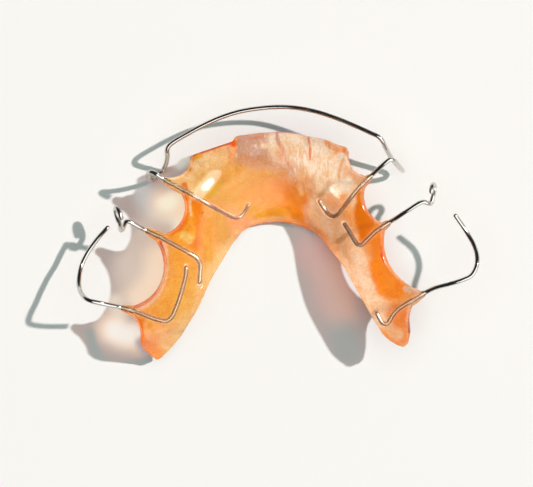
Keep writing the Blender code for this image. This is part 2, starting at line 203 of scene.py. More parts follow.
def scaled(
    tree: Tree, place: Socket, factors: Place, turn: float = 0.0
) -> Socket:
    """A place stretched along each axis, and turned about the upright one."""
    inputs = {"Vector": place, "Rotation": (0.0, 0.0, turn), "Scale": factors}
    return add_node(tree, "ShaderNodeMapping", inputs=inputs).outputs["Vector"]


def empty_material(name: str) -> Material:
    """A new material with no nodes in it yet.

    Args:
        name: the material's name.

    Returns:
        The material.
    """
    material = bpy.data.materials.new(name)
    material.use_nodes = True
    material.node_tree.nodes.clear()
    return material


def see_through_where(
    tree: Tree, share: Socket, body: bpy.types.Node, colour: object
) -> bpy.types.Node:
    """Swap a finish for plain tinted clearness on some rays.

    Args:
        tree: the node tree.
        share: 1 on the rays that go straight through.
        body: the finish that all others meet.
        colour: the tint that those rays take up.

    Returns:
        The mixed shader.
    """
    passed = add_node(tree, "ShaderNodeBsdfTransparent", inputs={"Color": colour})
    return add_node(
        tree, "ShaderNodeMixShader", inputs={0: share, 1: body.outputs["BSDF"], 2: passed.outputs["BSDF"]}
    )


def with_end_guides(points: Sequence[Sequence[float]]) -> list[Vector]:
    """The points, with one more guide point before the first and after the last."""
    guides = [Vector(point) for point in points]
    return [2 * guides[0] - guides[1]] + guides + [2 * guides[-1] - guides[-2]]


def curve_point(control: Sequence[Vector], share: float) -> Vector:
    """Find a point between the two middle points of four, on a smooth curve through all of them.

    Args:
        control: four points in order.
        share: how far the point is from the second towards the third.

    Returns:
        The point on the curve.
    """
    knots = [0.0]
    for near, far in zip(control, control[1:]):
        knots.append(knots[-1] + math.sqrt((far - near).length))
    place = knots[1] + (knots[2] - knots[1]) * share
    level = list(control)
    for reach in (1, 2, 1):
        low_knots = range(1, 2) if len(level) == 2 else range(len(level) - 1)
        blended = []
        for index, low in enumerate(low_knots):
            blend = (place - knots[low]) / (knots[low + reach] - knots[low])
            blended.append(level[index].lerp(level[index + 1], blend))
        level = blended
    return level[0]


def smooth_curve(points: Sequence[Sequence[float]], step: float) -> list[Vector]:
    """Draw a smooth curve through some points.

    Args:
        points: the points that it goes through.
        step: about how far apart the curve's own points are.

    Returns:
        The curve's points in order.
    """
    guides = with_end_guides(points)
    samples = []
    for control in zip(guides, guides[1:], guides[2:], guides[3:]):
        count = max(int((control[2] - control[1]).length / step), 2)
        samples += [curve_point(control, index / count) for index in range(count)]
    samples.append(guides[-2])
    return samples


def smoothstep(value: float) -> float:
    """Blend from 0 to 1 with no kink at either end."""
    value = min(max(value, 0.0), 1.0)
    return value * value * (3.0 - 2.0 * value)


def next_ring(shape: Shape, ring: Ring) -> Ring:
    """Extrude a closed ring of points.

    Args:
        shape: the mesh it is in.
        ring: its points in order.

    Returns:
        The new ring's points, in the same order.
    """
    edges = [shape.edges.get((near, far)) for near, far in zip(ring, ring[1:] + ring[:1])]
    fresh = set(bmesh.ops.extrude_edge_only(shape, edges=edges)["geom"])
    return [
        next(edge.other_vert(vert) for edge in vert.link_edges if edge.other_vert(vert) in fresh)
        for vert in ring
    ]


def loft(shape: Shape, outlines: Sequence[Sequence[Vector]]) -> list[Ring]:
    """Extrude a closed outline from place to place, and close it at both ends.

    Args:
        shape: the mesh to add it to.
        outlines: the outline at each place, all with as many points.

    Returns:
        The rings of points that it made.
    """
    ring = bmesh.ops.create_circle(shape, segments=len(outlines[0]), radius=1.0)["verts"]
    rings = []
    for number, outline in enumerate(outlines):
        ring = next_ring(shape, ring) if number else ring
        for vert, place in zip(ring, outline):
            vert.co = place
        rings.append(ring)
    for end in (rings[0], rings[-1]):
        bmesh.ops.contextual_create(shape, geom=end)
    return rings


def swept_outlines(path: Sequence[Vector], radii: Sequence[float], sides: int) -> list[list[Vector]]:
    """Lay round outlines square to a path, without any twist between them.

    Args:
        path: the middle line.
        radii: the radius at each of its points.
        sides: how many points each outline has.

    Returns:
        One outline for each point of the path.
    """
    heading = (path[1] - path[0]).normalized()
    side = heading.orthogonal().normalized()
    outlines = []
    for index, (centre, radius) in enumerate(zip(path, radii)):
        ahead = path[min(index + 1, len(path) - 1)] - path[max(index - 1, 0)]
        ahead.normalize()
        side = (heading.rotation_difference(ahead) @ side).normalized()
        heading = ahead
        up = heading.cross(side)
        turns = [2.0 * math.pi * number / sides for number in range(sides)]
        outlines.append([centre + radius * (side * math.cos(a) + up * math.sin(a)) for a in turns])
    return outlines


def mesh_piece(name: str, shape: Shape, scale: float = 1.0) -> Item:
    """Make an object at the origin from a finished mesh, which is then freed.

    Args:
        name: the object's name.
        shape: its mesh.
        scale: what each length is multiplied by.

    Returns:
        The object, linked to the scene.
    """
    bmesh.ops.scale(shape, verts=shape.verts, vec=(scale, scale, scale))
    mesh = bpy.data.meshes.new(name)
    shape.to_mesh(mesh)
    shape.free()
    mesh.shade_smooth()
    piece = bpy.data.objects.new(name, mesh)
    bpy.context.scene.collection.objects.link(piece)
    return piece


def read_vectors(mesh: bpy.types.Mesh, name: str) -> np.ndarray:
    """A vector of each of the mesh's points, one in each row.

    Args:
        mesh: the mesh.
        name: which of its points' vectors is read.

    Returns:
        The vectors.
    """
    values = np.empty(3 * len(mesh.vertices), dtype=np.float32)
    mesh.vertices.foreach_get(name, values)
    return values.reshape(-1, 3).astype(float)


def evaluated_shape(item: Item) -> Shape:
    """The mesh of an object with its modifiers, as a bmesh.

    Args:
        item: the object.

    Returns:
        Its mesh, which the caller frees.
    """
    bpy.context.view_layer.update()
    graph = bpy.context.evaluated_depsgraph_get()
    shape = bmesh.new()
    shape.from_object(item, graph)
    return shape


def dress(piece: Item, material: Material, node: str) -> None:
    """Give a piece its finish and its place in the fixed frame.

    Args:
        piece: the finished object.
        material: what it is made of.
        node: the solid that it stands for.
    """
    piece.data.materials.append(material)
    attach(piece, BODY)
    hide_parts(node)
    LOG.info("%s: %d points, %d faces", piece.name, len(piece.data.vertices), len(piece.data.polygons))


@dataclass
class Vault:
    """The curved plate's heights: its palate side and how thick the acrylic is above it."""

    rim_underside: float = 6.7
    rim_thickness: float = 2.5
    border_thickness: float = 1.9
    taper_run: float = 7.0
    centre_y: float = -1.5
    floor_radius: float = 4.6
    edge_radius: float = 13.2
    tail_level: float = 0.52
    leg_end_y: float = -14.0
    leg_end_run: float = 4.6
    leg_end_drop: float = 5.3
    leg_end_tilt: float = 0.45
    leg_end_tilt_y: float = -12.6
    leg_end_tilt_length: float = 2.4
    leg_end_tilt_width: float = 4.6
    border: list[Vector] = field(default_factory=list)

    def rise(self, x: float, y: float) -> float:
        """How far up the slope a point is: 0 on the floor of the vault and 1 at the gum level."""
        reach = math.hypot(x, max(y - self.centre_y, 0.0))
        return min(max((reach - self.floor_radius) / (self.edge_radius - self.floor_radius), 0.0), 1.0)

    def underside(self, x: float, y: float) -> float:
        """Height of the palate side, which bends down at the end of the left leg."""
        return self.rim_underside * smoothstep(self.rise(x, y)) * self.leg_end_height(x, y)

    def leg_end_height(self, x: float, y: float) -> float:
        """Share of its height that it keeps: less at the left leg's end and its inner border.

        Args:
            x: how far across the point is.
            y: how far forward it is.

        Returns:
            The share, 1 everywhere else.
        """
        if x > 0.0 or y > self.leg_end_tilt_y:
            return 1.0
        along = min(max((self.leg_end_y - y) / self.leg_end_run, 0.0), 1.0)
        bend = self.leg_end_drop / self.rim_underside * along**1.5
        inward = 1.0 - smoothstep(self.border_distance(x, y) / self.leg_end_tilt_width)
        reached = smoothstep((self.leg_end_tilt_y - y) / self.leg_end_tilt_length)
        tilt = self.leg_end_tilt * inward * reached
        return (1.0 - bend) * (1.0 - tilt)

    def border_distance(self, x: float, y: float) -> float:
        """Distance across from a point to the plate's inner border.

        Args:
            x: how far across the point is.
            y: how far forward it is.

        Returns:
            The distance.
        """
        line = np.array([point[:2] for point in self.border])
        starts, runs = line[:-1], np.diff(line, axis=0)
        offsets = np.array((x, y)) - starts
        shares = np.clip((offsets * runs).sum(1) / (runs * runs).sum(1), 0.0, 1.0)
        return float(np.sqrt(((offsets - runs * shares[:, None]) ** 2).sum(1)).min())

    def thickness(self, x: float, y: float) -> float:
        """Upright thickness: thin at the inner border, full at the teeth, more where it is steep.

        Args:
            x: how far across the point is.
            y: how far forward it is.

        Returns:
            The thickness.
        """
        share = smoothstep(self.border_distance(x, y) / self.taper_run)
        wall = self.border_thickness + (self.rim_thickness - self.border_thickness) * share
        rise = self.rise(x, y)
        slope = self.rim_underside * 6.0 * rise * (1.0 - rise) / (self.edge_radius - self.floor_radius)
        return wall * math.hypot(1.0, slope)

    def inside(self, x: float, y: float) -> Place:
        """A point set inside the thickness of the plate, where the wires' tails lie."""
        return x, y, self.underside(x, y) + self.tail_level * self.thickness(x, y)


@dataclass(frozen=True)
class Stroke:
    """A soft-edged line or patch inside the acrylic, as seen from above."""

    line: tuple[Pair, ...]
    half_width: float
    colour: str
    strength: float = 1.0
    softness: float = 0.5
    waver: float = 1.0

    def shares(self, places: np.ndarray) -> np.ndarray:
        """How much of the stroke's colour each place has.

        Args:
            places: places across and forward, one in each row.

        Returns:
            A share from 0 to 1 for each place.
        """
        gaps = line_distance(places, self.line)
        fade = 2.0 * self.softness * self.half_width
        blend = np.clip((self.half_width * (1.0 + self.softness) - gaps) / fade, 0.0, 1.0)
        return self.strength * blend * blend * (3.0 - 2.0 * blend)


def line_distance(places: np.ndarray, line: Sequence[Sequence[float]]) -> np.ndarray:
    """Distance in plan from each place to a smooth line through some points.

    Args:
        places: places across and forward, one in each row.
        line: the points; one alone is a spot.

    Returns:
        The distances.
    """
    points = [Vector((*point, 0.0)) for point in line]
    if len(points) > 2:
        points = smooth_curve(points, 0.5)
    if len(points) == 1:
        points = points * 2
    least = np.full(len(places), np.inf)
    for near, far in zip(points, points[1:]):
        start, run = np.array(near[:2]), np.array((far - near)[:2])
        length = max(float(run @ run), 1e-12)
        share = np.clip((places - start) @ run / length, 0.0, 1.0)
        gap = places - start - share[:, None] * run
        least = np.minimum(least, (gap * gap).sum(1))
    return np.sqrt(least)


@dataclass(frozen=True)
class TintMap:
    """A tint that changes over the plate: a ground colour with strokes laid over it in order."""

    name: str
    ground: str
    strokes: tuple[Stroke, ...]

    def paint(
        self, mesh: bpy.types.Mesh, plan: np.ndarray, warp: np.ndarray, shares: np.ndarray | None = None
    ) -> None:
        """Write the tint to the mesh as a colour attribute.

        Args:
            mesh: the plate's mesh.
            plan: where its points lie across and forward, in millimetres.
            warp: how far each point's lookup is pushed, which makes edges run and curl.
            shares: how much of the tint each point has, or all of it everywhere.
        """
        colours = np.tile(np.array(linear(self.ground)), (len(plan), 1))
        for stroke in self.strokes:
            share = stroke.shares(plan + stroke.waver * warp)[:, None]
            colours += (np.array(linear(stroke.colour)) - colours) * share
        layer = mesh.color_attributes.new(self.name, "FLOAT_COLOR", "POINT")
        if shares is not None:
            colours = colours ** shares[:, None]
        layer.data.foreach_set("color", colours.astype(np.float32).ravel())


# Where the orange dye lies thick or thin. Inside a scallop's edge the acrylic is seen along its length,
# so it is a deeper orange there, and over the folds of the palate in front it is nearly clear. A few strokes
# are painted light instead: pale highlight lines on the scallops' rims and a patch of painted shade in
# front.
DYE_AND_PAINTED_LIGHT = TintMap(
    name="dye",
    ground="#F4C082",
    strokes=(
        Stroke(((-12.0, 0.6), (-13.5, -5.0), (-15.5, -10.5)), 4.6, "#EDB93A", 0.9, 0.6),
        Stroke(((-6.0, -1.2), (-9.3, -5.5), (-11.8, -9.9), (-14.2, -13.5), (-16.5, -16.5)),
               1.5, "#F0D791", 0.9, 0.7),
        Stroke(((-12.7, -4.2), (-12.9, -7.5), (-14.0, -10.5)), 1.2, "#F1C35E", 0.6, 0.7),
        Stroke(((-11.9, 4.6), (-11.3, 2.6), (-11.2, 0.5), (-11.7, -1.5)), 0.8, "#EC9900", 0.95),
        Stroke(((-10.3, 1.5), (-10.1, -3.3)), 0.95, "#E9B500", 0.95),
        Stroke(((-8.4, 2.6), (-8.0, -0.4)), 1.2, "#DDB200", 0.7, 0.6),
        Stroke(((-13.7, -0.1), (-12.8, -0.6)), 0.6, "#EFE39A", 0.9, 0.4),
        Stroke(((-13.4, 8.2), (-10.4, 9.4), (-8.0, 9.9)), 2.6, "#FAEDC0", 0.9),
        Stroke(((-9.4, 7.1), (-6.3, 6.0)), 2.0, "#DDC100", 0.9, 0.6),
        Stroke(((-4.0, 7.6), (0.0, 6.4), (2.2, 4.2)), 3.6, "#F2C656", 0.95, 0.6),
        Stroke(((-4.2, 3.4), (-2.0, 2.6), (0.6, 2.6)), 0.9, "#E5BB00", 0.9, 0.7),
        Stroke(((1.6, 6.6), (3.6, 4.6), (4.0, 3.0)), 1.3, "#E9AF0C", 0.8, 0.6),
        Stroke(((2.2, 8.0), (3.0, 7.2)), 0.9, "#F2C991", 0.8, 0.6),
        # Partly painted shade: this grey-pink patch stands in for the front rim's shadow on the floor, seen
        # through the clear flange.
        Stroke(((-4.0, 12.3), (-1.6, 12.0), (0.4, 11.6)), 2.3, "#D5BEB5", 0.95, 0.35),
        Stroke(((-4.6, 10.4), (-1.0, 10.0), (1.2, 9.6)), 0.9, "#E5BB92", 0.85, 0.6),
        Stroke(((-4.7, 13.9), (-2.0, 14.1), (-0.2, 14.2)), 0.3, "#D6B3AD", 0.9),
        Stroke(((-1.5, 12.9), (-0.5, 12.6)), 0.35, "#FDFAE9", 0.9, 0.6),
        Stroke(((-2.6, 12.9), (-2.4, 12.5)), 0.2, "#F5EDE9", 0.8, 0.6),
        Stroke(((-0.9, 14.1),), 0.16, "#FDFFFF", 0.95),
        Stroke(((-5.15, 11.7), (-5.3, 11.1)), 0.14, "#F4F6D3", 0.95),
        Stroke(((2.6, 12.6), (5.2, 11.6), (8.6, 9.6), (10.6, 8.0)), 3.0, "#F3EFE1", 1.0, 0.22),
        Stroke(((6.3, 7.8), (7.9, 5.6)), 2.2, "#F6EFDC", 1.0, 0.3),
        Stroke(((6.2, 3.6), (6.4, 1.2)), 1.2, "#FFFFF9", 1.0, 0.3),
        Stroke(((11.4, 8.3), (12.9, 7.4)), 1.0, "#EABD95", 0.8),
        Stroke(((0.9, 11.4), (2.0, 9.4), (3.3, 8.3)), 0.34, "#ECD6C5", 0.95),
        Stroke(((3.5, 8.9), (4.1, 6.6), (4.3, 5.6)), 0.3, "#FEF4DE", 0.85),
        Stroke(((4.9, 8.6), (5.4, 6.9), (5.6, 5.6), (5.2, 3.9)), 0.3, "#FDDAAF", 0.9),
        Stroke(((4.8, 3.4), (4.7, 2.0), (5.5, 0.3)), 0.42, "#F1DDD0", 0.9),
        Stroke(((6.5, 9.8), (6.7, 8.6), (6.2, 7.4)), 0.26, "#F3F7EF", 0.8),
        Stroke(((8.2, 10.9), (8.0, 9.4)), 0.2, "#FBF9ED", 0.8),
        Stroke(((8.4, 8.6), (8.6, 8.2)), 0.26, "#EDF7DC", 0.8),
        Stroke(((0.75, 14.5), (1.3, 12.8), (1.9, 10.8), (2.9, 8.9)), 0.24, "#E9BCA9", 0.95, 0.5, 0.6),
        Stroke(((5.5, 13.6), (5.6, 12.3), (5.75, 10.2)), 0.17, "#EC904B", 0.95, 0.5, 0.6),
        Stroke(((10.5, 10.0), (9.9, 8.8), (9.9, 7.4)), 0.24, "#EBB880", 0.9, 0.6, 0.6),
        Stroke(((8.2, 12.55), (9.5, 11.7), (10.3, 11.3)), 0.4, "#F2B78E", 0.95, 0.5, 0.5),
        Stroke(((9.4, 11.3), (9.5, 10.9)), 0.25, "#F9CF90", 0.95, 0.5, 0.5),
        Stroke(((0.7, 14.55), (2.9, 14.4), (5.5, 13.7), (8.1, 13.1)), 0.14, "#D9A3C4", 0.95, 0.6, 0.2),
        Stroke(((10.9, 11.3), (11.6, 10.0), (12.4, 8.7), (14.0, 7.9)), 0.34, "#D88325", 0.85, 0.6, 0.4),
        Stroke(((8.3, 4.2), (9.1, 2.9)), 0.85, "#FFDBBE", 0.95, 0.6),
        Stroke(((6.5, 5.2), (6.9, 4.2)), 0.28, "#FFE4B9", 0.9),
        Stroke(((8.0, 1.5), (10.0, -2.2), (11.9, -6.5), (13.1, -10.2), (14.6, -13.4)),
               2.0, "#FBEBD5", 0.95, 0.3),
        Stroke(((11.6, 4.2), (12.4, 3.0)), 0.9, "#ECD9BC", 0.8),
        Stroke(((13.7, 4.0), (13.2, 1.2), (13.7, -1.6)), 1.35, "#E68B00", 1.0, 0.22),
        Stroke(((14.3, 5.6), (14.4, 4.0)), 0.6, "#F78B4C", 0.9),
        Stroke(((15.4, -1.8), (16.0, -4.5), (17.0, -7.4), (17.4, -9.6)), 1.85, "#F3A136", 1.0, 0.3),
        Stroke(((14.4, -6.0), (15.2, -9.6)), 0.8, "#FAA200", 0.85, 0.6),
        Stroke(((14.3, 1.2), (13.9, -0.6)), 0.2, "#ED842F", 0.9, 0.6),
        Stroke(((15.4, -3.4), (15.9, -5.6)), 0.16, "#E84900", 0.9, 0.6),
        Stroke(((18.9, -9.8), (20.6, -10.0)), 0.42, "#E4D1C4", 0.95, 0.5, 0.4),
        Stroke(((17.5, -13.4), (18.3, -16.4)), 1.6, "#EEA058", 0.95),
        Stroke(((19.8, -12.6), (19.4, -14.4), (19.2, -16.2)), 0.3, "#960000", 0.9, 0.5, 0.4),
        Stroke(((16.2, -15.4), (17.4, -16.8)), 0.7, "#EECFAD", 0.85, 0.6),
        Stroke(((-20.9, -12.6), (-20.75, -14.4), (-19.9, -16.4)), 0.55, "#F09A00", 0.95, 0.5, 0.5),
        Stroke(((-19.3, -13.2), (-18.6, -14.0)), 0.3, "#EAA600", 0.8, 0.6),
        Stroke(((-19.4, -16.9), (-18.4, -18.0)), 1.2, "#F5A900", 0.9, 0.6),
        Stroke(((-17.5, -14.6), (-16.9, -15.9)), 0.9, "#F4CC87", 0.8, 0.6),
        Stroke(((-13.2, 7.4), (-12.85, 4.7), (-13.1, 2.8), (-14.2, 1.0), (-15.8, 0.3)),
               0.42, "#EC9523", 0.95, 0.45, 0.3),
        # Painted highlight: a pale line on the premolar scallop's rounded rim.
        Stroke(((-12.55, 5.1), (-12.5, 2.9)), 0.17, "#F1E5C9", 0.9, 0.6, 0.3),
        Stroke(((-15.9, -1.8), (-15.7, -4.0), (-16.0, -6.4), (-17.2, -8.7), (-18.6, -10.1)),
               0.5, "#EDC067", 0.9, 0.5, 0.3),
        Stroke(((-17.2, -1.0), (-16.85, -3.0), (-17.0, -5.4), (-17.9, -8.0), (-19.2, -9.6),
                (-21.2, -10.35)), 0.3, "#D05B3D", 0.9, 0.5, 0.1),
        # Painted highlight: a pale line along the molar scallop's rounded rim.
        Stroke(((-16.7, -0.9), (-16.4, -2.4), (-16.45, -4.6), (-17.0, -6.9), (-18.2, -9.0),
                (-19.6, -10.2), (-21.4, -10.9)), 0.27, "#F0D5C1", 1.0, 0.5, 0.1),
        Stroke(((-13.3, 9.4), (-12.9, 10.8), (-11.9, 11.65), (-9.0, 12.6), (-5.8, 13.5)),
               0.26, "#D75E37", 0.95, 0.5, 0.2),
        Stroke(((-12.7, 10.7), (-12.2, 9.6)), 0.36, "#DAAD3F", 0.9, 0.6, 0.5),
        Stroke(((-11.6, 11.2), (-10.6, 11.6)), 0.3, "#FEC617", 0.9, 0.6, 0.5),
        Stroke(((-5.35, 14.2), (-5.4, 12.8), (-5.9, 11.6), (-6.3, 10.4)), 0.42, "#FDC88D", 0.95, 0.5, 0.5),
        Stroke(((-5.8, 13.6), (-5.6, 13.2)), 0.5, "#EF6A00", 0.95, 0.5, 0.3),
        Stroke(((-6.2, -0.6), (-4.6, 1.0), (-2.6, 1.6), (0.0, 1.8), (2.6, 1.3), (5.4, 0.2), (7.4, -2.0)),
               0.2, "#EFCD8F", 0.8, 0.6, 0.3),
        Stroke(((-10.7, 3.1),), 0.14, "#847000", 0.9, 0.6, 0.0),
        Stroke(((-13.1, 0.7),), 0.12, "#C79321", 0.9, 0.6, 0.0),
    ),
)

# Painted shadow and painted pools of light: the tint that the key lamp's light takes up through the plate,
# laid out where it falls on the floor. Its dark edges and warm bright pools stand in for the curved plate
# bending light away from the edges of its shadow.
PAINTED_SHADOW_LIGHT = TintMap(
    name="painted_shadow_light",
    ground="#7E2E00",
    strokes=(
        Stroke(((-10.5, 7.5), (-4.0, 10.0), (2.0, 10.5), (8.5, 8.5)), 4.2, "#4C003C", 1.0, 0.4, 0.4),
        Stroke(((-6.0, 4.5), (0.0, 5.0), (5.5, 4.0)), 2.6, "#F8C898", 0.9, 0.6, 0.4),
        Stroke(((-12.0, 3.0), (-12.6, -3.0), (-14.5, -9.0), (-16.6, -13.6)), 3.8, "#FFFFE7", 1.0, 0.4, 0.4),
        Stroke(((12.5, 4.0), (14.5, -2.0), (17.0, -8.0), (18.5, -14.0)), 2.6, "#FFD4A4", 1.0, 0.4, 0.4),
        Stroke(((7.6, 1.6), (10.2, -2.0), (12.0, -5.3), (13.6, -8.5), (14.6, -11.0), (16.2, -14.4)),
               1.6, "#FFE8C0", 1.0, 0.3, 0.2),
        Stroke(((-19.6, 7.2), (-18.6, 4.4), (-17.2, 2.6)), 1.5, "#A49DA0", 0.9, 0.8, 0.3),
        Stroke(((-17.2, 2.8), (-16.0, 3.0), (-14.5, 4.0)), 1.3, "#FFFFF0", 0.95, 0.8, 0.3),
        Stroke(((-16.4, 4.8), (-15.0, 4.8)), 2.0, "#FFD8AD", 1.0, 0.8, 0.2),
        Stroke(((-16.3, 4.6), (-15.4, 5.0)), 1.2, "#FFFFE2", 1.0, 0.8, 0.2),
        Stroke(((-18.6, 0.6), (-20.0, -1.6), (-21.6, -4.6), (-21.8, -8.2)), 2.7, "#C09C86", 1.0, 0.7, 0.3),
        Stroke(((-17.6, -3.4), (-18.4, -6.6), (-20.6, -9.2)), 2.2, "#FCDEBD", 1.0, 0.8, 0.3),
        Stroke(((-24.6, -9.6), (-24.2, -11.4)), 1.2, "#E7D2BC", 0.9, 0.8, 0.3),
        Stroke(((-25.4, -13.6), (-23.6, -14.6), (-21.4, -15.2)), 2.1, "#FFD5B1", 1.0, 0.8, 0.3),
        Stroke(((-24.6, -13.8), (-23.4, -14.4), (-22.4, -14.5)), 1.5, "#FFFFFD", 1.0, 0.8, 0.2),
        Stroke(((-13.9, 10.8), (-13.0, 11.4)), 0.9, "#C9D8CB", 0.8, 0.8, 0.3),
        Stroke(((5.6, -3.6), (7.4, -6.8), (8.2, -10.5)), 2.6, "#AE3800", 1.0, 0.8, 0.3),
        Stroke(((8.0, -6.5), (9.2, -10.2), (9.6, -13.6)), 1.8, "#B45800", 0.9, 0.9, 0.3),
        Stroke(((9.9, -18.8), (9.5, -16.8)), 2.3, "#480C00", 1.0, 0.95, 0.3),
        Stroke(((-21.0, -15.9), (-20.4, -17.0), (-19.4, -18.4)), 0.9, "#8D6F80", 0.95, 0.7, 0.2),
        Stroke(((-28.6, -14.0), (-27.8, -17.2), (-26.4, -18.9), (-23.0, -19.3), (-20.0, -18.7)),
               0.7, "#2C2024", 0.9, 0.9, 0.2),
    ),
)


@dataclass(frozen=True)
class CastAcrylic:
    """Cold-cure acrylic resin (PMMA), cast with orange dye and polished by hand.

    It has a wet gloss and light goes through it, a little milky from fine dust in the resin. The dye
    isn't stirred in evenly, so it clouds from deep orange to nearly clear, and veins of it run down
    the folds in front, with painted highlights along the folds. It is clearest right over the wires, where
    the resin is thin, and a paler tint there is a painted highlight of the wires' bright cores.
    """

    name: str = "cast_acrylic_orange"
    ior: float = 1.49
    depth_tint: str = "#FFDDB8"
    depth_density: float = 55.0
    polish: float = 0.35
    gloss: Pair = (0.07, 0.15)
    clearness: Pair = (0.58, 0.44)
    clear_by_wire: float = 0.94
    veil_slope: float = 0.2
    cloud_size: float = 2.6
    cloud_detail: float = 3.0
    cloud_curl: float = 1.2
    cloud_dark: str = "#F7E4CC"
    swirl_size: float = 0.7
    swirl_detail: float = 2.0
    swirl_curl: float = 2.0
    swirl_dark: str = "#F8E6D2"
    cloud_edge: Pair = (0.35, 0.65)
    # Painted highlight: a pale tint over the cast-in wires stands in for their bright cores.
    wire_highlight_colour: str = "#FFF2DE"
    wire_highlight_share: float = 0.55
    vein_width: float = 0.6
    vein_length: float = 2.6
    vein_turn: float = math.radians(12.0)
    vein_detail: float = 3.0
    vein_curl: float = 1.4
    vein_strength: float = 0.75
    vein_band: Pair = (0.56, 0.66)
    vein_colour: str = "#F0A070"
    # Painted highlights: pale lines along the folds' ridges.
    fold_highlight_band: Pair = (0.45, 0.35)
    fold_highlight_colour: str = "#FFF6E8"

    def dyed_with_painted_highlights(
        self, tree: Tree, place: Socket, clouds: Socket
    ) -> Socket:
        """Colour the resin: the painted dye, clouded and veined in the folds, with painted highlights along
        the folds and over the wires.

        Args:
            tree: the node tree.
            place: the place in millimetres.
            clouds: the noise of the dye's clouds.

        Returns:
            The colour.
        """
        swirls = grained(tree, place, self.swirl_size, self.swirl_detail, self.swirl_curl)
        colour = attribute(tree, DYE_AND_PAINTED_LIGHT.name, "Color")
        for grain, dark in ((clouds, self.cloud_dark), (swirls, self.swirl_dark)):
            share = ranged(tree, grain, self.cloud_edge, blend="SMOOTHSTEP")
            tint = mixed(tree, share, linear(WHITE), linear(dark))
            colour = mixed(tree, 1.0, colour, tint, "MULTIPLY")
        stretch = (1.0 / self.vein_width, 1.0 / self.vein_length, 1.0 / self.vein_length)
        along_folds = scaled(tree, place, stretch, self.vein_turn)
        veins = grained(tree, along_folds, 1.0, self.vein_detail, self.vein_curl)
        folded = attribute(tree, FOLDED)
        # Dye veins, then painted highlights, along the folds.
        for band, ink in ((self.vein_band, self.vein_colour), (self.fold_highlight_band, self.fold_highlight_colour)):
            share = computed(tree, "MULTIPLY", ranged(tree, veins, band, (0.0, self.vein_strength)), folded)
            colour = mixed(tree, share, colour, linear(ink))
        # Painted highlight over the wires: a pale tint for their bright cores.
        thin = computed(tree, "MULTIPLY", attribute(tree, OVER_WIRE), self.wire_highlight_share)
        return mixed(tree, thin, colour, linear(self.wire_highlight_colour))

    def flatter_normal(self, tree: Tree) -> Socket:
        """The body's facing with less slope, so light passes through with less of a bend.

        Args:
            tree: the node tree.

        Returns:
            The flattened facing.
        """
        facing = add_node(tree, "ShaderNodeNewGeometry").outputs["Normal"]
        turn = {"vector_type": "VECTOR", "convert_from": "WORLD", "convert_to": "OBJECT"}
        facing = add_node(tree, "ShaderNodeVectorTransform", turn, {"Vector": facing}).outputs["Vector"]
        flatten = {0: facing, 1: (self.veil_slope, self.veil_slope, 1.0)}
        facing = add_node(tree, "ShaderNodeVectorMath", {"operation": "MULTIPLY"}, flatten).outputs["Vector"]
        turn = {"vector_type": "VECTOR", "convert_from": "OBJECT", "convert_to": "WORLD"}
        facing = add_node(tree, "ShaderNodeVectorTransform", turn, {"Vector": facing}).outputs["Vector"]
        even = add_node(tree, "ShaderNodeVectorMath", {"operation": "NORMALIZE"}, {0: facing})
        return even.outputs["Vector"]

    def make(self) -> Material:
        """Build the material.

        Returns:
            The acrylic. Shadow rays go straight through it and take up a painted tint, which gives the
            plate's shadow on the floor its painted colours, dark edges and bright pools. The floor's own
            rays do the same, which keeps the plate's glow off its shadow.
        """
        material = empty_material(self.name)
        tree = material.node_tree
        place = scaled(tree, add_node(tree, "ShaderNodeTexCoord").outputs["Object"], (1.0 / MM,) * 3)
        clouds = grained(tree, place, self.cloud_size, self.cloud_detail, self.cloud_curl)
        gloss = ranged(tree, clouds, new=self.gloss)
        cloudy = ranged(tree, clouds, new=self.clearness)
        clear = add_node(
            tree, "ShaderNodeMix", inputs={0: attribute(tree, CLEARNESS), 2: cloudy, 3: self.clear_by_wire}
        )
        body = add_node(
            tree,
            "ShaderNodeBsdfPrincipled",
            inputs={
                "Base Color": self.dyed_with_painted_highlights(tree, place, clouds),
                "Roughness": gloss,
                "Normal": self.flatter_normal(tree),
                "Coat Weight": self.polish,
                "Coat Roughness": gloss,
                "Coat IOR": self.ior,
                "IOR": self.ior,
                "Transmission Weight": clear.outputs[0],
            },
        )
        rays = add_node(tree, "ShaderNodeLightPath").outputs
        outside = computed(tree, "LESS_THAN", rays["Transmission Depth"], 0.5)
        from_floor = computed(tree, "MULTIPLY", rays["Is Diffuse Ray"], outside)
        straight = computed(tree, "MAXIMUM", rays["Is Shadow Ray"], from_floor)
        # Painted shadow: shadow rays and the floor's rays take up the painted tint in place of the plate's
        # body.
        surface = see_through_where(tree, straight, body, attribute(tree, PAINTED_SHADOW_LIGHT.name, "Color"))
        depth = {"Color": linear(self.depth_tint), "Density": self.depth_density}
        inside = add_node(tree, "ShaderNodeVolumeAbsorption", inputs=depth)
        ends = {"Surface": surface.outputs["Shader"], "Volume": inside.outputs["Volume"]}
        add_node(tree, "ShaderNodeOutputMaterial", inputs=ends)
        return material


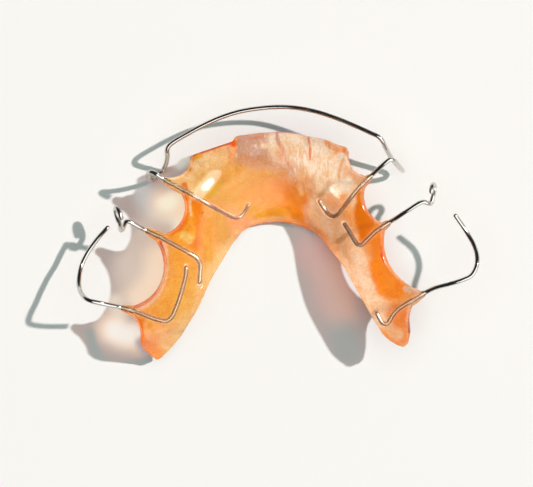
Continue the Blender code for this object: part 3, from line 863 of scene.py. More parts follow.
@dataclass(frozen=True)
class DrawnSteel:
    """Hard stainless orthodontic wire, drawn through a die and bent with pliers.

    It mirrors its surroundings in long bright and dark lines, a little broken up by the drawing marks
    along it, with dull nicks where the pliers held it. Where it is cast in, the acrylic round it blurs
    its mirror and bends the light behind it together again, so it leaves no shadow of its own there.
    """

    name: str = "drawn_stainless_wire"
    colour: str = "#CFCDC8"
    smooth: Pair = (0.10, 0.24)
    smooth_buried: float = 0.26
    marks_round: float = 6.0
    mark_run: float = 0.12
    mark_detail: float = 3.0
    mark_depth: float = 0.006
    mark_strength: float = 0.35
    nick_size: float = 1.6
    nick_detail: float = 1.0
    nick_band: Pair = (0.45, 0.75)

    def make(self) -> Material:
        """Build the material.

        Returns:
            The steel, whose marks follow the wire by its own attribute.
        """
        material = empty_material(self.name)
        tree = material.node_tree
        place = attribute(tree, WIRE_PLACE, "Vector")
        stretched = scaled(tree, place, (self.marks_round, self.marks_round, self.mark_run))
        marks = grained(tree, stretched, 1.0, self.mark_detail)
        nicks = grained(tree, place, self.nick_size, self.nick_detail)
        buried = attribute(tree, BURIED)
        dulled = computed(tree, "MULTIPLY", buried, self.smooth_buried)
        rough = computed(tree, "MAXIMUM", ranged(tree, nicks, self.nick_band, self.smooth), dulled)
        relief = add_node(
            tree,
            "ShaderNodeBump",
            inputs={"Height": marks, "Strength": self.mark_strength, "Distance": self.mark_depth * MM},
        )
        body = add_node(
            tree,
            "ShaderNodeBsdfPrincipled",
            inputs={
                "Base Color": linear(self.colour),
                "Metallic": 1.0,
                "Roughness": rough,
                "Normal": relief.outputs["Normal"],
            },
        )
        in_shadow = add_node(tree, "ShaderNodeLightPath").outputs["Is Shadow Ray"]
        blurred = computed(tree, "MULTIPLY", buried, in_shadow)
        surface = see_through_where(tree, blurred, body, linear(WHITE))
        add_node(tree, "ShaderNodeOutputMaterial", inputs={"Surface": surface.outputs["Shader"]})
        return material


@dataclass(frozen=True)
class WireRing:
    """The turn of wire at the end of an eyelet clasp, left open where it comes back to the arm."""

    centre: Place
    along: Place
    across: Place
    start: float = -40.0
    end: float = -305.0
    step: float = 15.0

    def points(self) -> list[tuple[float, ...]]:
        """The ring's points in order.

        Returns:
            The points.
        """
        count = round(abs(self.end - self.start) / self.step)
        turns = [math.radians(self.start + (self.end - self.start) * n / count) for n in range(count + 1)]
        middle, along, across = Vector(self.centre), Vector(self.along), Vector(self.across)
        return [tuple(middle + along * math.cos(a) + across * math.sin(a)) for a in turns]


@dataclass
class BentWire:
    """One bent wire of the appliance, with one or two tails cast into the plate."""

    node: str
    tail: Sequence[Pair]
    free: Sequence[Place]
    far_tail: Sequence[Pair] = ()
    ring: WireRing | None = None
    diameter: float = 0.7
    sides: int = 20
    step: float = 0.16
    nose_steps: int = 5
    nose_start: float = 0.35
    unevenness: float = 0.012
    unevenness_rate: float = 0.7
    buried_reach: float = 0.5
    buried_fade: float = 0.3
    collar_length: float = 4.6
    collar_taper: float = 2.5
    collar_radius: float = 0.8
    tip_radius: float = 0.5
    collar_nose: float = 0.5
    nose_share: float = 0.1

    def route(self, vault: Vault) -> list[tuple[float, ...]]:
        """Every point that the wire goes through, tails included.

        Args:
            vault: the plate's heights.

        Returns:
            The points, each across, forward and up.
        """
        ring = self.ring.points() if self.ring else []
        near = [vault.inside(*point) for point in self.tail]
        return near + list(self.free) + ring + [vault.inside(*point) for point in self.far_tail]

    def path(self, vault: Vault) -> list[Vector]:
        """The wire's middle line."""
        return smooth_curve(self.route(vault), self.step)

    def exits(self, vault: Vault) -> list[list[Vector]]:
        """The last stretches of its tails, each ending where the wire leaves the plate.

        Args:
            vault: the plate's heights.

        Returns:
            The points of each stretch.
        """
        path, route = self.path(vault), self.route(vault)
        leaving = min(range(len(path)), key=lambda n: (path[n] - Vector(route[len(self.tail) - 1])).length)
        stretches = [path[: leaving + 1]]
        if self.far_tail:
            first = Vector(route[-len(self.far_tail)])
            entering = min(range(len(path)), key=lambda n: (path[n] - first).length)
            stretches.append(path[entering:][::-1])
        return [
            [point for point in stretch if (point - stretch[-1]).length <= self.collar_length]
            for stretch in stretches
        ]

    def add_collars(self, shape: Shape, vault: Vault) -> None:
        """Add the beads of acrylic that run out along the wire where it leaves the plate.

        Args:
            shape: the plate's mesh, which they are merged with later.
            vault: the plate's heights.
        """
        for stretch in self.exits(vault):
            radii = []
            for point in stretch:
                left = (point - stretch[-1]).length
                full = smoothstep(left / self.collar_taper)
                taper = self.tip_radius + (self.collar_radius - self.tip_radius) * full
                radii.append(taper * math.sqrt(min(left / self.collar_nose + self.nose_share, 1.0)))
            loft(shape, swept_outlines(stretch, radii, self.sides))

    def round_start(self, path: list[Vector], radii: list[float]) -> tuple[list[Vector], list[float]]:
        """Round off the wire's first end.

        Args:
            path: the wire's middle line.
            radii: its radius at each point.

        Returns:
            The line and the radii with a round nose at the start.
        """
        radius = 0.5 * self.diameter
        tip, inward = path[0], (path[1] - path[0]).normalized()
        steps = [number + self.nose_start for number in range(self.nose_steps)]
        angles = [0.5 * math.pi * step / self.nose_steps for step in steps]
        nose = [tip + inward * radius * (1.0 - math.cos(angle)) for angle in angles]
        kept = [number for number, point in enumerate(path) if (point - tip).length > radius]
        nose_radii = [radius * math.sin(angle) for angle in angles]
        return nose + [path[number] for number in kept], nose_radii + [radii[number] for number in kept]

    def depths(self, path: Sequence[Vector]) -> list[float]:
        """How far each point of the wire is inside the acrylic: 1 where it is cast in, 0 where it is free.

        Args:
            path: the wire's middle line.

        Returns:
            The depth of each point.
        """
        plan = np.array([point[:2] for point in path])
        gaps = line_distance(plan, self.tail)
        if self.far_tail:
            gaps = np.minimum(gaps, line_distance(plan, self.far_tail))
        return np.clip((self.buried_reach - gaps) / self.buried_fade, 0.0, 1.0).tolist()

    def build(self, vault: Vault, material: Material) -> Item:
        """Sweep the wire along its middle line, with rounded ends.

        Args:
            vault: the plate's heights.
            material: its steel.

        Returns:
            The finished wire.
        """
        path = self.path(vault)
        swell = [self.unevenness * noise.noise(point * self.unevenness_rate) for point in path]
        radii = [0.5 * self.diameter * (1.0 + part) for part in swell]
        for _ in range(2):
            path, radii = self.round_start(path[::-1], radii[::-1])
        shape = bmesh.new()
        place = shape.verts.layers.float_vector.new(WIRE_PLACE)
        buried = shape.verts.layers.float.new(BURIED)
        depths = self.depths(path)
        rings = loft(shape, swept_outlines(path, radii, self.sides))
        along = 0.0
        for number, ring in enumerate(rings):
            along += (path[number] - path[number - 1]).length if number else 0.0
            for index, vert in enumerate(ring):
                angle = 2.0 * math.pi * index / self.sides
                vert[place] = Vector((math.cos(angle), math.sin(angle), along))
                vert[buried] = depths[number]
        bmesh.ops.recalc_face_normals(shape, faces=shape.faces)
        piece = mesh_piece(self.node + "_wire", shape, MM)
        dress(piece, material, self.node)
        return piece


@dataclass
class BasePlate:
    """The acrylic plate: a horseshoe vault, scalloped round the teeth and cast round the wires."""

    node: str = "base_plate"
    ribs: tuple[tuple[Pair, Pair], ...] = (
        ((-18.8, -18.6), (-18.1, -18.3)), ((-19.8, -17.7), (-17.0, -17.3)), ((-20.9, -16.3), (-15.9, -16.2)),
        ((-21.1, -14.6), (-14.9, -15.1)), ((-21.5, -12.5), (-13.9, -13.7)), ((-22.8, -11.0), (-12.6, -11.8)),
        ((-22.8, -10.2), (-11.8, -10.5)), ((-21.4, -4.4), (-9.9, -6.8)), ((-18.7, 0.6), (-7.6, -3.3)),
        ((-17.9, 4.8), (-6.2, -1.4)), ((-15.8, 8.15), (-5.0, 0.0)), ((-14.2, 10.2), (-4.0, 0.6)),
        ((-11.8, 11.8), (-3.0, 0.9)), ((-8.7, 12.7), (-2.3, 1.0)), ((-5.7, 13.5), (-1.6, 1.1)),
        ((-5.3, 14.2), (-1.4, 1.15)), ((-4.6, 14.35), (-1.1, 1.2)), ((-2.0, 14.55), (-0.5, 1.2)),
        ((0.7, 14.6), (0.3, 1.2)), ((2.9, 14.4), (1.0, 1.1)), ((5.5, 13.7), (1.8, 0.95)),
        ((8.1, 13.1), (2.6, 0.75)), ((9.6, 12.4), (3.2, 0.6)), ((11.2, 11.7), (3.8, 0.4)),
        ((12.2, 10.2), (4.6, 0.0)), ((14.0, 6.9), (5.6, -0.5)), ((15.8, 3.7), (6.6, -1.3)),
        ((16.4, 0.0), (7.8, -3.0)), ((19.5, -4.8), (9.6, -5.6)), ((21.1, -9.9), (11.3, -8.9)),
        ((21.1, -10.9), (12.1, -10.5)), ((19.5, -14.0), (13.6, -13.5)), ((19.3, -16.3), (15.1, -16.3)),
        ((18.9, -17.9), (16.3, -17.5)), ((18.2, -18.5), (17.4, -18.2)),
    )
    teeth: tuple[Place, ...] = (
        (-24.8, -14.5, 3.8), (-23.0, -4.2, 6.05), (-17.3, 4.2, 3.9), (-15.0, 11.5, 2.8),
        (14.1, 10.1, 2.6), (17.7, 4.1, 4.2), (23.7, -2.9, 7.6), (23.6, -14.6, 4.3),
    )
    incisors: tuple[Place, ...] = (
        (-8.75, 12.65, 2.8), (-2.3, 14.5, 2.7), (3.1, 14.3, 2.15), (8.05, 13.05, 2.4),
    )
    tooth_flare: float = 0.5
    tooth_sides: int = 96
    cut_overrun: float = 2.4
    incisor_depth: float = 0.7
    incisor_lean: float = math.radians(55.0)
    incisor_reach: float = 9.0
    front_edge_height: float = 0.6
    lean_centre_y: float = -15.0
    rim_rounding: float = 0.4
    rounding_limit: float = 0.4
    rounding_steps: int = 5
    rows: int = 34
    column_step: float = 0.45
    grain: float = 0.15
    smoothing: int = 6
    smoothing_strength: float = 0.5
    ripple: float = 0.045
    ripple_size: float = 3.2
    fold: float = 0.16
    fold_size: float = 1.5
    fold_stretch: Place = (1.0, 0.35, 0.35)
    fold_offset: Place = (7.0, 3.0, 1.0)
    fold_centre: Pair = (6.0, 10.0)
    fold_reach: float = 6.5
    fold_fade: float = 1.5
    curls: tuple[Pair, ...] = ((2.4, 0.5), (0.72, 0.175))
    over_wire_softness: float = 0.35
    shade_fade: float = 0.4
    shade_clearness: float = 0.85

    def inner_border(self) -> list[Vector]:
        """The plate's inner border, seen from above."""
        return smooth_curve([(*inner, 0.0) for _, inner in self.ribs], 3.0 * self.column_step)

    def quarter_round(self, step: int) -> Pair:
        """How far along and how far out a quarter circle of radius 1 has come at a step."""
        angle = 0.5 * math.pi * step / self.rounding_steps
        return 1.0 - math.cos(angle), math.sin(angle)

    def section(self, outer: Vector, inner: Vector, vault: Vault) -> list[Vector]:
        """Draw the closed outline of one rib, from its inner border over the top and back.

        Args:
            outer: the rib's point on the tooth side.
            inner: its point on the inner border.
            vault: the plate's heights.

        Returns:
            The outline's points.
        """
        width = (outer - inner).length
        half_border = 0.5 * vault.thickness(inner.x, inner.y)
        border_run = min(half_border, self.rounding_limit * width)
        rim_run = min(self.rim_rounding, self.rounding_limit * width)
        places = []
        for step in range(1, self.rounding_steps + 1):
            along, out = self.quarter_round(step)
            places.append((border_run * along, half_border * (1.0 - out)))
        for row in range(1, self.rows):
            places.append((border_run + (width - border_run - rim_run) * row / self.rows, 0.0))
        for step in range(self.rounding_steps, -1, -1):
            along, out = self.quarter_round(step)
            places.append((width - rim_run * along, rim_run * (1.0 - out)))
        top, bottom = [], []
        for distance, drop in places:
            x, y, _ = inner.lerp(outer, distance / width)
            low = vault.underside(x, y)
            top.append(Vector((x, y, low + vault.thickness(x, y) - drop)))
            bottom.append(Vector((x, y, low + drop)))
        border = Vector((inner.x, inner.y, vault.underside(inner.x, inner.y) + half_border))
        return [border] + top + bottom[::-1]

    def blank(self, vault: Vault) -> Item:
        """The plate before it is scalloped, as a loft through its ribs.

        Args:
            vault: the plate's heights.

        Returns:
            The plate, as an object that is later removed.
        """
        inner_guides = with_end_guides([(*inner, 0.0) for _, inner in self.ribs])
        outers = [Vector((*outer, 0.0)) for outer, _ in self.ribs]
        outlines = []
        for index, (outer, following) in enumerate(zip(outers, outers[1:])):
            columns = max(math.ceil((following - outer).length / self.column_step), 1)
            for column in range(columns):
                share = column / columns
                inner = curve_point(inner_guides[index : index + 4], share)
                outlines.append(self.section(outer.lerp(following, share), inner, vault))
        outlines.append(self.section(outers[-1], inner_guides[-2], vault))
        shape = bmesh.new()
        loft(shape, outlines)
        bmesh.ops.recalc_face_normals(shape, faces=shape.faces)
        return mesh_piece("plate_blank", shape)

    def tooth(self, shape: Shape, place: Place, vault: Vault) -> None:
        """Add the lower crown of a back tooth, a little wider towards its top.

        Args:
            shape: the mesh to add it to.
            place: where it stands and its radius or half width.
            vault: the plate's heights.
        """
        x, y, radius = place
        flare = self.tooth_flare / vault.rim_thickness
        made = bmesh.ops.create_cone(
            shape,
            cap_ends=True,
            segments=self.tooth_sides,
            radius1=radius - flare * self.cut_overrun,
            radius2=radius + flare * (vault.rim_thickness + self.cut_overrun),
            depth=vault.rim_thickness + 2.0 * self.cut_overrun,
        )
        middle = vault.rim_underside + 0.5 * vault.rim_thickness
        bmesh.ops.translate(shape, verts=made["verts"], vec=(x, y, middle))

    def incisor(self, shape: Shape, place: Place, vault: Vault) -> None:
        """Add the back of an incisor's crown, which leans forward over the front edge.

        Args:
            shape: the mesh to add it to.
            place: where it stands and its radius or half width.
            vault: the plate's heights.
        """
        x, y, half_width = place
        outward = Vector((x, y - self.lean_centre_y, 0.0)).normalized()
        made = bmesh.ops.create_cone(
            shape,
            cap_ends=True,
            segments=self.tooth_sides,
            radius1=half_width,
            radius2=half_width,
            depth=2.0 * self.incisor_reach,
        )
        verts = made["verts"]
        bmesh.ops.scale(shape, verts=verts, vec=(1.0, self.incisor_depth / half_width, 1.0))
        front = [vert for vert in verts if vert.co.y > 0.001]
        bmesh.ops.translate(shape, verts=front, vec=(0.0, self.incisor_reach, 0.0))
        lean = Matrix.Rotation(-self.incisor_lean, 3, "X")
        turn = Matrix.Rotation(-math.atan2(outward.x, outward.y), 3, "Z")
        bmesh.ops.rotate(shape, verts=verts, cent=(0.0, 0.0, 0.0), matrix=turn @ lean)
        middle = Vector((x, y, vault.rim_underside + vault.rim_thickness - self.front_edge_height))
        middle += outward * (self.incisor_depth / math.cos(self.incisor_lean))
        bmesh.ops.translate(shape, verts=verts, vec=middle)

    def scalloped(self, vault: Vault) -> Shape:
        """Cut the teeth out of the blank.

        Args:
            vault: the plate's heights.

        Returns:
            The plate with its scallops, still with sharp edges.
        """
        blank = self.blank(vault)
        cutters = bpy.data.collections.new("tooth_cutters")
        bpy.context.scene.collection.children.link(cutters)
        for add, places in ((self.tooth, self.teeth), (self.incisor, self.incisors)):
            for place in places:
                shape = bmesh.new()
                add(shape, place, vault)
                cutter = mesh_piece("tooth_cutter", shape)
                bpy.context.scene.collection.objects.unlink(cutter)
                cutters.objects.link(cutter)
        cut = blank.modifiers.new("scallops", "BOOLEAN")
        cut.operation = "DIFFERENCE"
        cut.solver = "EXACT"
        cut.operand_type = "COLLECTION"
        cut.collection = cutters
        shape = evaluated_shape(blank)
        for item in [blank, *cutters.objects]:
            bpy.data.objects.remove(item)
        bpy.data.collections.remove(cutters)
        return shape

    def worked(self, shape: Shape) -> Shape:
        """Run plate and collars into one body with edges rounded as by polishing.

        Args:
            shape: the scalloped plate with the collars in it.

        Returns:
            One even mesh of small faces.
        """
        rough = mesh_piece("plate_rough", shape)
        melt = rough.modifiers.new("one_body", "REMESH")
        melt.mode = "VOXEL"
        melt.voxel_size = self.grain
        polish = rough.modifiers.new("polished", "SMOOTH")
        polish.factor = self.smoothing_strength
        polish.iterations = self.smoothing
        even = evaluated_shape(rough)
        bpy.data.objects.remove(rough)
        return even

    def wave(self, shape: Shape) -> None:
        """Give the surface the gentle waves of hand work, and the folds of the palate at the front.

        Args:
            shape: the plate's mesh.
        """
        shape.normal_update()
        shifts = []
        for vert in shape.verts:
            x, y, z = vert.co
            ripple = self.ripple * noise.noise(vert.co / self.ripple_size)
            away = math.hypot(x - self.fold_centre[0], y - self.fold_centre[1])
            near = smoothstep(self.fold_fade * (1.0 - away / self.fold_reach))
            turned = Vector((x, y, z)) * Vector(self.fold_stretch) / self.fold_size
            folds = self.fold * near * noise.noise(turned + Vector(self.fold_offset))
            shifts.append(vert.normal * (ripple + folds))
        for vert, shift in zip(shape.verts, shifts):
            vert.co += shift

    def build(self, vault: Vault, wires: Sequence[BentWire], material: Material) -> Item:
        """Build the plate round its wires.

        Args:
            vault: the plate's heights.
            wires: the wires that are cast into it.
            material: its acrylic.

        Returns:
            The finished plate.
        """
        shape = self.scalloped(vault)
        for wire in wires:
            wire.add_collars(shape, vault)
        shape = self.worked(shape)
        self.wave(shape)
        bmesh.ops.recalc_face_normals(shape, faces=shape.faces)
        piece = mesh_piece(self.node + "_acrylic", shape, MM)
        self.paint(piece.data, wires)
        dress(piece, material, self.node)
        return piece

    def paint(self, mesh: bpy.types.Mesh, wires: Sequence[BentWire]) -> None:
        """Lay the dye with its painted highlights and shade, the painted shadow tint and the clear stretches
        over the wires on the plate's mesh.

        The painted shadow tint lies wholly on the faces that are turned from the key lamp, so that each
        ray takes it up once on its way through. Top faces in shade are clearer than those in light.

        Args:
            mesh: the plate's mesh.
            wires: the wires, which the acrylic is thin over.
        """
        places = read_vectors(mesh, "co") / MM
        normals = read_vectors(mesh, "normal")
        plan = places[:, :2]
        warp = np.zeros(plan.shape)
        for size, reach in self.curls:
            pushes = [noise.noise_vector(Vector(place) / size) for place in places.tolist()]
            warp += reach * np.array(pushes)[:, :2]
        DYE_AND_PAINTED_LIGHT.paint(mesh, plan, warp)
        key_way = Vector(Studio.key_way)
        to_key = normals @ np.array(key_way.normalized())
        landing = plan - places[:, 2:] * np.array(key_way[:2])
        # Painted shadow: the tint is looked up where each point's shadow lands on the floor.
        PAINTED_SHADOW_LIGHT.paint(mesh, landing, warp, np.clip(0.5 - 3.0 * to_key, 0.0, 1.0))
        over_wire = np.zeros(len(plan))
        for wire in wires:
            for tail in (wire.tail, wire.far_tail):
                if tail:
                    over = Stroke(tuple(tail), 0.5 * wire.diameter, WHITE, softness=self.over_wire_softness)
                    over_wire = np.maximum(over_wire, over.shares(plan))
        on_top = np.clip(4.0 * normals[:, 2], 0.0, 1.0)
        shaded = np.clip((0.5 - to_key) / self.shade_fade, 0.0, 1.0) * on_top
        clear = np.maximum(over_wire, self.shade_clearness * shaded)
        away = np.hypot(*(plan + warp - np.array(self.fold_centre)).T)
        folded = np.clip(self.fold_fade * (1.0 - away / self.fold_reach), 0.0, 1.0)
        for name, values in ((CLEARNESS, clear), (FOLDED, folded), (OVER_WIRE, over_wire)):
            layer = mesh.attributes.new(name, "FLOAT", "POINT")
            layer.data.foreach_set("value", values.astype(np.float32))


def retainer_wires() -> list[BentWire]:
    """The labial bow, the two eyelet clasps and the two C clasps.

    Returns:
        The five wires, each with its tails in the plate and its free bends.
    """
    bow = BentWire(
        node="labial_bow",
        tail=(
            (-3.8, 4.2), (-4.5, 3.1), (-5.15, 2.4), (-6.0, 2.2), (-7.3, 2.8), (-9.6, 4.2), (-11.7, 5.6),
            (-13.9, 7.0), (-15.6, 8.0), (-16.5, 8.6),
        ),
        free=(
            (-17.25, 9.15, 8.4), (-17.9, 9.55, 8.25), (-18.45, 9.5, 7.6), (-18.6, 9.0, 6.0),
            (-18.5, 8.5, 3.4), (-18.2, 8.4, 1.5), (-17.6, 8.75, 0.55), (-17.0, 9.3, 0.4), (-16.4, 9.9, 0.8),
            (-15.9, 10.8, 2.3), (-15.6, 11.9, 4.2), (-15.6, 12.7, 5.2), (-15.3, 13.35, 5.45),
            (-14.6, 13.9, 5.4), (-12.7, 14.9, 5.4), (-10.4, 16.0, 5.5), (-7.4, 17.2, 5.6),
            (-4.5, 17.95, 5.8), (-1.4, 18.3, 5.9), (1.2, 18.35, 6.0), (3.9, 18.1, 6.1), (6.8, 17.4, 6.3),
            (9.7, 16.3, 6.5), (12.7, 14.9, 6.6), (15.0, 13.7, 6.7), (16.1, 13.1, 6.7), (16.6, 12.5, 6.5),
            (17.1, 11.4, 5.5), (17.8, 10.1, 3.9), (18.6, 8.95, 2.6), (19.15, 8.3, 2.2), (19.5, 7.95, 2.6),
            (19.5, 7.9, 3.6), (19.15, 8.3, 5.5), (18.6, 8.95, 7.6), (18.1, 9.45, 8.9), (17.5, 9.55, 9.3),
            (16.8, 9.1, 9.2), (15.8, 8.3, 8.7),
        ),
        far_tail=(
            (14.8, 7.45), (14.1, 6.85), (13.2, 6.1), (11.7, 4.5), (10.2, 2.7), (9.6, 1.95), (8.9, 1.65),
            (8.2, 2.0), (7.6, 2.8), (6.8, 4.3),
        ),
    )
    eyelet_left = BentWire(
        node="eyelet_clasp_left",
        tail=(
            (-11.8, -7.5), (-11.6, -5.8), (-11.5, -4.5), (-11.95, -3.6), (-13.0, -2.8), (-14.6, -1.8),
            (-16.3, -0.75), (-18.4, 0.45), (-19.5, 1.05),
        ),
        free=(
            (-20.3, 1.5, 8.6), (-21.5, 2.25, 9.2), (-22.1, 2.4, 9.25), (-22.45, 1.9, 8.8),
            (-22.75, 1.35, 8.0), (-23.05, 1.2, 7.0),
        ),
        ring=WireRing(centre=(-23.3, 3.3, 6.5), along=(0.31, -1.26, 0.0), across=(0.29, 0.07, 0.71)),
    )
    eyelet_right = BentWire(
        node="eyelet_clasp_right",
        tail=(
            (10.3, 0.6), (11.0, -0.75), (11.65, -2.05), (12.1, -2.75), (12.75, -2.85), (13.35, -2.35),
            (14.9, -1.0), (16.0, -0.35), (17.2, 0.35),
        ),
        free=(
            (18.1, 0.85, 8.6), (19.7, 1.8, 9.3), (21.7, 2.9, 9.7), (22.3, 3.0, 9.65), (22.85, 2.75, 9.3),
            (23.3, 2.75, 8.8),
        ),
        ring=WireRing(centre=(23.7, 4.7, 9.05), along=(-0.12, -0.85, 0.0), across=(-0.26, -0.04, 0.8)),
    )
    clasp_left = BentWire(
        node="c_clasp_left",
        tail=(
            (-13.6, -4.6), (-13.7, -5.9), (-14.0, -7.0), (-14.6, -8.8), (-15.4, -10.8), (-16.2, -12.2),
            (-17.0, -12.7), (-18.2, -12.45), (-19.8, -11.8), (-21.5, -11.05), (-23.0, -10.55),
            (-23.8, -10.3),
        ),
        free=(
            (-24.7, -10.05, 8.6), (-26.7, -9.5, 9.6), (-28.4, -8.95, 9.7), (-29.3, -8.1, 8.6),
            (-29.7, -7.0, 7.3), (-29.7, -5.7, 6.5), (-29.2, -3.7, 5.7), (-28.2, -1.9, 5.4),
            (-26.6, 0.1, 6.0), (-24.8, 1.9, 6.9),
        ),
    )
    clasp_right = BentWire(
        node="c_clasp_right",
        tail=(
            (14.35, -12.95), (14.8, -14.0), (15.3, -14.75), (15.95, -14.8), (16.45, -14.1), (17.0, -13.35),
            (17.95, -12.55), (19.5, -11.7), (21.0, -10.9), (22.0, -10.4),
        ),
        free=(
            (23.5, -9.8, 8.9), (25.3, -9.4, 9.7), (27.3, -8.9, 10.05), (28.7, -8.3, 10.0),
            (29.5, -7.1, 9.9), (29.75, -5.6, 9.5), (29.4, -3.8, 8.5), (28.3, -1.6, 8.0), (26.7, 1.0, 8.8),
        ),
    )
    return [bow, eyelet_left, eyelet_right, clasp_left, clasp_right]


@dataclass(frozen=True)
class PaperFloor:
    """Matt off-white paper, smooth and plain, that takes soft shadows."""

    name: str = "matt_paper"
    colour: str = "#FAF8F4"
    roughness: float = 0.9

    def make(self) -> Material:
        """Build the material.

        Returns:
            The paper.
        """
        material = bpy.data.materials.new(self.name)
        material.use_nodes = True
        shader = material.node_tree.nodes["Principled BSDF"]
        shader.inputs["Base Color"].default_value = linear(self.colour)
        shader.inputs["Roughness"].default_value = self.roughness
        shader.inputs["Specular IOR Level"].default_value = 0.0
        return material


@dataclass(frozen=True)
class CatchLight:
    """A small oval lamp close above the plate, which only shows mirrored in its polish."""

    name: str
    place: Pair
    length: float
    width: float
    glow: float
    turn: float = math.radians(45.0)
    distance: float = 8.0
    spread: float = math.radians(60.0)
    probe: float = 0.5

    def add(self, vault: Vault) -> None:
        """Hang the lamp where the polished plate mirrors it up to the camera.

        Args:
            vault: the plate's heights.
        """
        x, y = self.place

        def top(across: float, forward: float) -> float:
            """Height of the plate's tongue side."""
            return vault.underside(across, forward) + vault.thickness(across, forward)

        slope_x = (top(x + self.probe, y) - top(x - self.probe, y)) / (2.0 * self.probe)
        slope_y = (top(x, y + self.probe) - top(x, y - self.probe)) / (2.0 * self.probe)
        facing = Vector((-slope_x, -slope_y, 1.0)).normalized()
        way = (2.0 * facing.z * facing - UP).normalized()
        long_way = Vector((math.cos(self.turn), math.sin(self.turn), 0.0))
        long_way = (long_way - long_way.dot(way) * way).normalized()
        lamp = bpy.data.lights.new(self.name, "AREA")
        lamp.shape = "ELLIPSE"
        lamp.size = self.length * MM
        lamp.size_y = self.width * MM
        lamp.spread = self.spread
        lamp.energy = self.glow * 0.25 * math.pi**2 * self.length * self.width * MM**2
        item = bpy.data.objects.new(self.name, lamp)
        axes = Matrix((long_way, way.cross(long_way), way)).transposed()
        item.location = (Vector((x, y, top(x, y))) + way * self.distance) * MM
        item.rotation_euler = axes.to_euler()
        item.visible_camera = False
        item.visible_diffuse = False
        item.visible_transmission = False
        bpy.context.scene.collection.objects.link(item)
        LOG.info("%s: from %s", self.name, tuple(round(part, 2) for part in way))


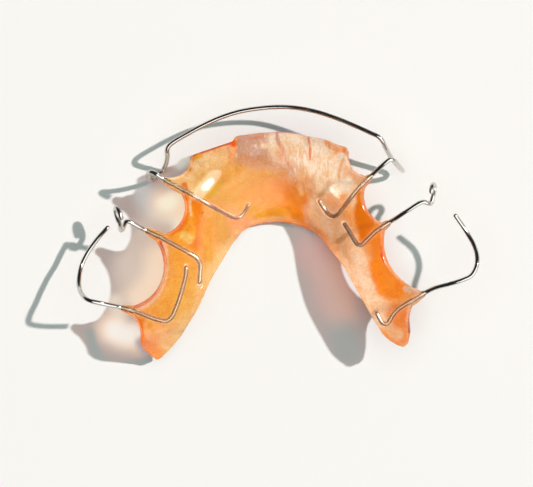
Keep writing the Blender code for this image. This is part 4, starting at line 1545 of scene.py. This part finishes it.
@dataclass
class Studio:
    """The pale floor, the light and the camera above it. Its distances are in metres."""

    floor_size: float = 6.0
    floor_gap: float = 0.02 * MM
    aim: Place = (-0.00145, -0.00195, 0.007)
    camera_height: float = 0.8
    roll: float = math.radians(-2.98)
    frame_width: float = 0.07955
    sensor: float = 36.0
    key_way: Place = (0.954, 0.320, 1.0)
    key_distance: float = 6.0
    key_size: float = 0.18
    key_power: float = 339.0
    key_colour: str = "#FFF4F3"
    fill_height: float = 3.0
    fill_size: float = 4.0
    fill_power: float = 45.7
    fill_colour: str = "#ECFFFD"
    sheen_way: Place = (0.5, -0.45, 0.74)
    sheen_distance: float = 2.0
    sheen_size: float = 3.0
    sheen_glow: float = 1.7
    horizon: str = "#505256"
    ceiling: str = "#2C2E30"
    horizon_top: float = 0.10
    ceiling_start: float = 0.45
    catch_lights: tuple[CatchLight, ...] = (
        CatchLight("catch_light_left", (-9.5, 7.1), 2.2, 0.6, 4.4),
        CatchLight("catch_light_left_halo", (-9.5, 7.1), 5.6, 2.2, 0.6),
        CatchLight("catch_light_right", (9.6, 5.5), 1.8, 1.4, 1.6, math.radians(-45.0), 6.0),
    )

    def add_floor(self) -> None:
        """Lay the floor under the appliance."""
        shape = bmesh.new()
        bmesh.ops.create_grid(shape, x_segments=2, y_segments=2, size=0.5 * self.floor_size)
        bmesh.ops.translate(shape, verts=shape.verts, vec=(0.0, 0.0, CAD_BOX[0].z - self.floor_gap))
        floor = mesh_piece("studio_floor", shape)
        floor.data.materials.append(PaperFloor().make())

    def add_lamp(
        self, name: str, way: Vector, distance: float, size: float, power: float, colour: str
    ) -> Item:
        """Hang a round lamp that points at the appliance.

        Args:
            name: its name.
            way: from the appliance to the lamp.
            distance: how far off it is.
            size: its diameter.
            power: its strength in watts.
            colour: the tint of its light.

        Returns:
            The lamp.
        """
        lamp = bpy.data.lights.new(name, "AREA")
        lamp.color = linear(colour)[:3]
        lamp.shape = "DISK"
        lamp.size = size
        lamp.energy = power
        item = bpy.data.objects.new(name, lamp)
        item.location = way.normalized() * distance
        item.rotation_euler = way.to_track_quat("Z", "Y").to_euler()
        bpy.context.scene.collection.objects.link(item)
        return item

    def add_light(self, vault: Vault) -> None:
        """Set a small key lamp, a wide soft fill, a mirrored sheet of light and the catch lights.

        Args:
            vault: the plate's heights, which the catch lights are set by.
        """
        key_way = Vector(self.key_way)
        self.add_lamp("key_lamp", key_way, self.key_distance, self.key_size, self.key_power, self.key_colour)
        fill = self.add_lamp(
            "fill_lamp", UP, self.fill_height, self.fill_size, self.fill_power, self.fill_colour
        )
        fill.visible_glossy = False
        sheen_power = math.pi * (0.25 * math.pi * self.sheen_size**2) * self.sheen_glow
        sheen = self.add_lamp(
            "sheen_lamp", Vector(self.sheen_way), self.sheen_distance, self.sheen_size, sheen_power, WHITE
        )
        sheen.visible_diffuse = False
        for light in self.catch_lights:
            light.add(vault)

    def add_room(self) -> None:
        """Set a dim room round the floor, paler near the horizon than overhead."""
        world = bpy.data.worlds.new("studio_room")
        world.use_nodes = True
        tree = world.node_tree
        tree.nodes.clear()
        around = add_node(tree, "ShaderNodeTexCoord").outputs["Generated"]
        way_up = add_node(tree, "ShaderNodeSeparateXYZ", inputs={0: around}).outputs["Z"]
        height = ranged(tree, way_up, (self.horizon_top, self.ceiling_start), blend="SMOOTHSTEP")
        colour = mixed(tree, height, linear(self.horizon), linear(self.ceiling))
        glow = add_node(tree, "ShaderNodeBackground", inputs={"Color": colour})
        add_node(tree, "ShaderNodeOutputWorld", inputs={"Surface": glow.outputs["Background"]})
        bpy.context.scene.world = world

    def add_camera(self) -> None:
        """Hang the camera straight above, turned as the photograph is."""
        lens = bpy.data.cameras.new("camera")
        lens.sensor_width = self.sensor
        lens.lens = self.sensor * (self.camera_height - self.aim[2]) / self.frame_width
        lens.clip_start = 0.01
        lens.clip_end = 20.0
        camera = bpy.data.objects.new("camera", lens)
        camera.location = (self.aim[0], self.aim[1], self.camera_height)
        camera.rotation_euler = (0.0, 0.0, self.roll)
        bpy.context.scene.collection.objects.link(camera)
        bpy.context.scene.camera = camera

    def build(self, vault: Vault) -> None:
        """Set up floor, light, camera and plain colours.

        Args:
            vault: the plate's heights, which the lamps need.
        """
        self.add_floor()
        self.add_light(vault)
        self.add_room()
        self.add_camera()
        bpy.context.scene.view_settings.view_transform = "Standard"


def main() -> None:
    """Build the retainer and its studio."""
    logging.basicConfig(level=logging.INFO, format="%(name)s: %(message)s")
    plate = BasePlate()
    vault = Vault(border=plate.inner_border())
    wires = retainer_wires()
    steel = DrawnSteel().make()
    for wire in wires:
        wire.build(vault, steel)
    plate.build(vault, wires, CastAcrylic().make())
    Studio().build(vault)


if __name__ == "__main__":
    main()
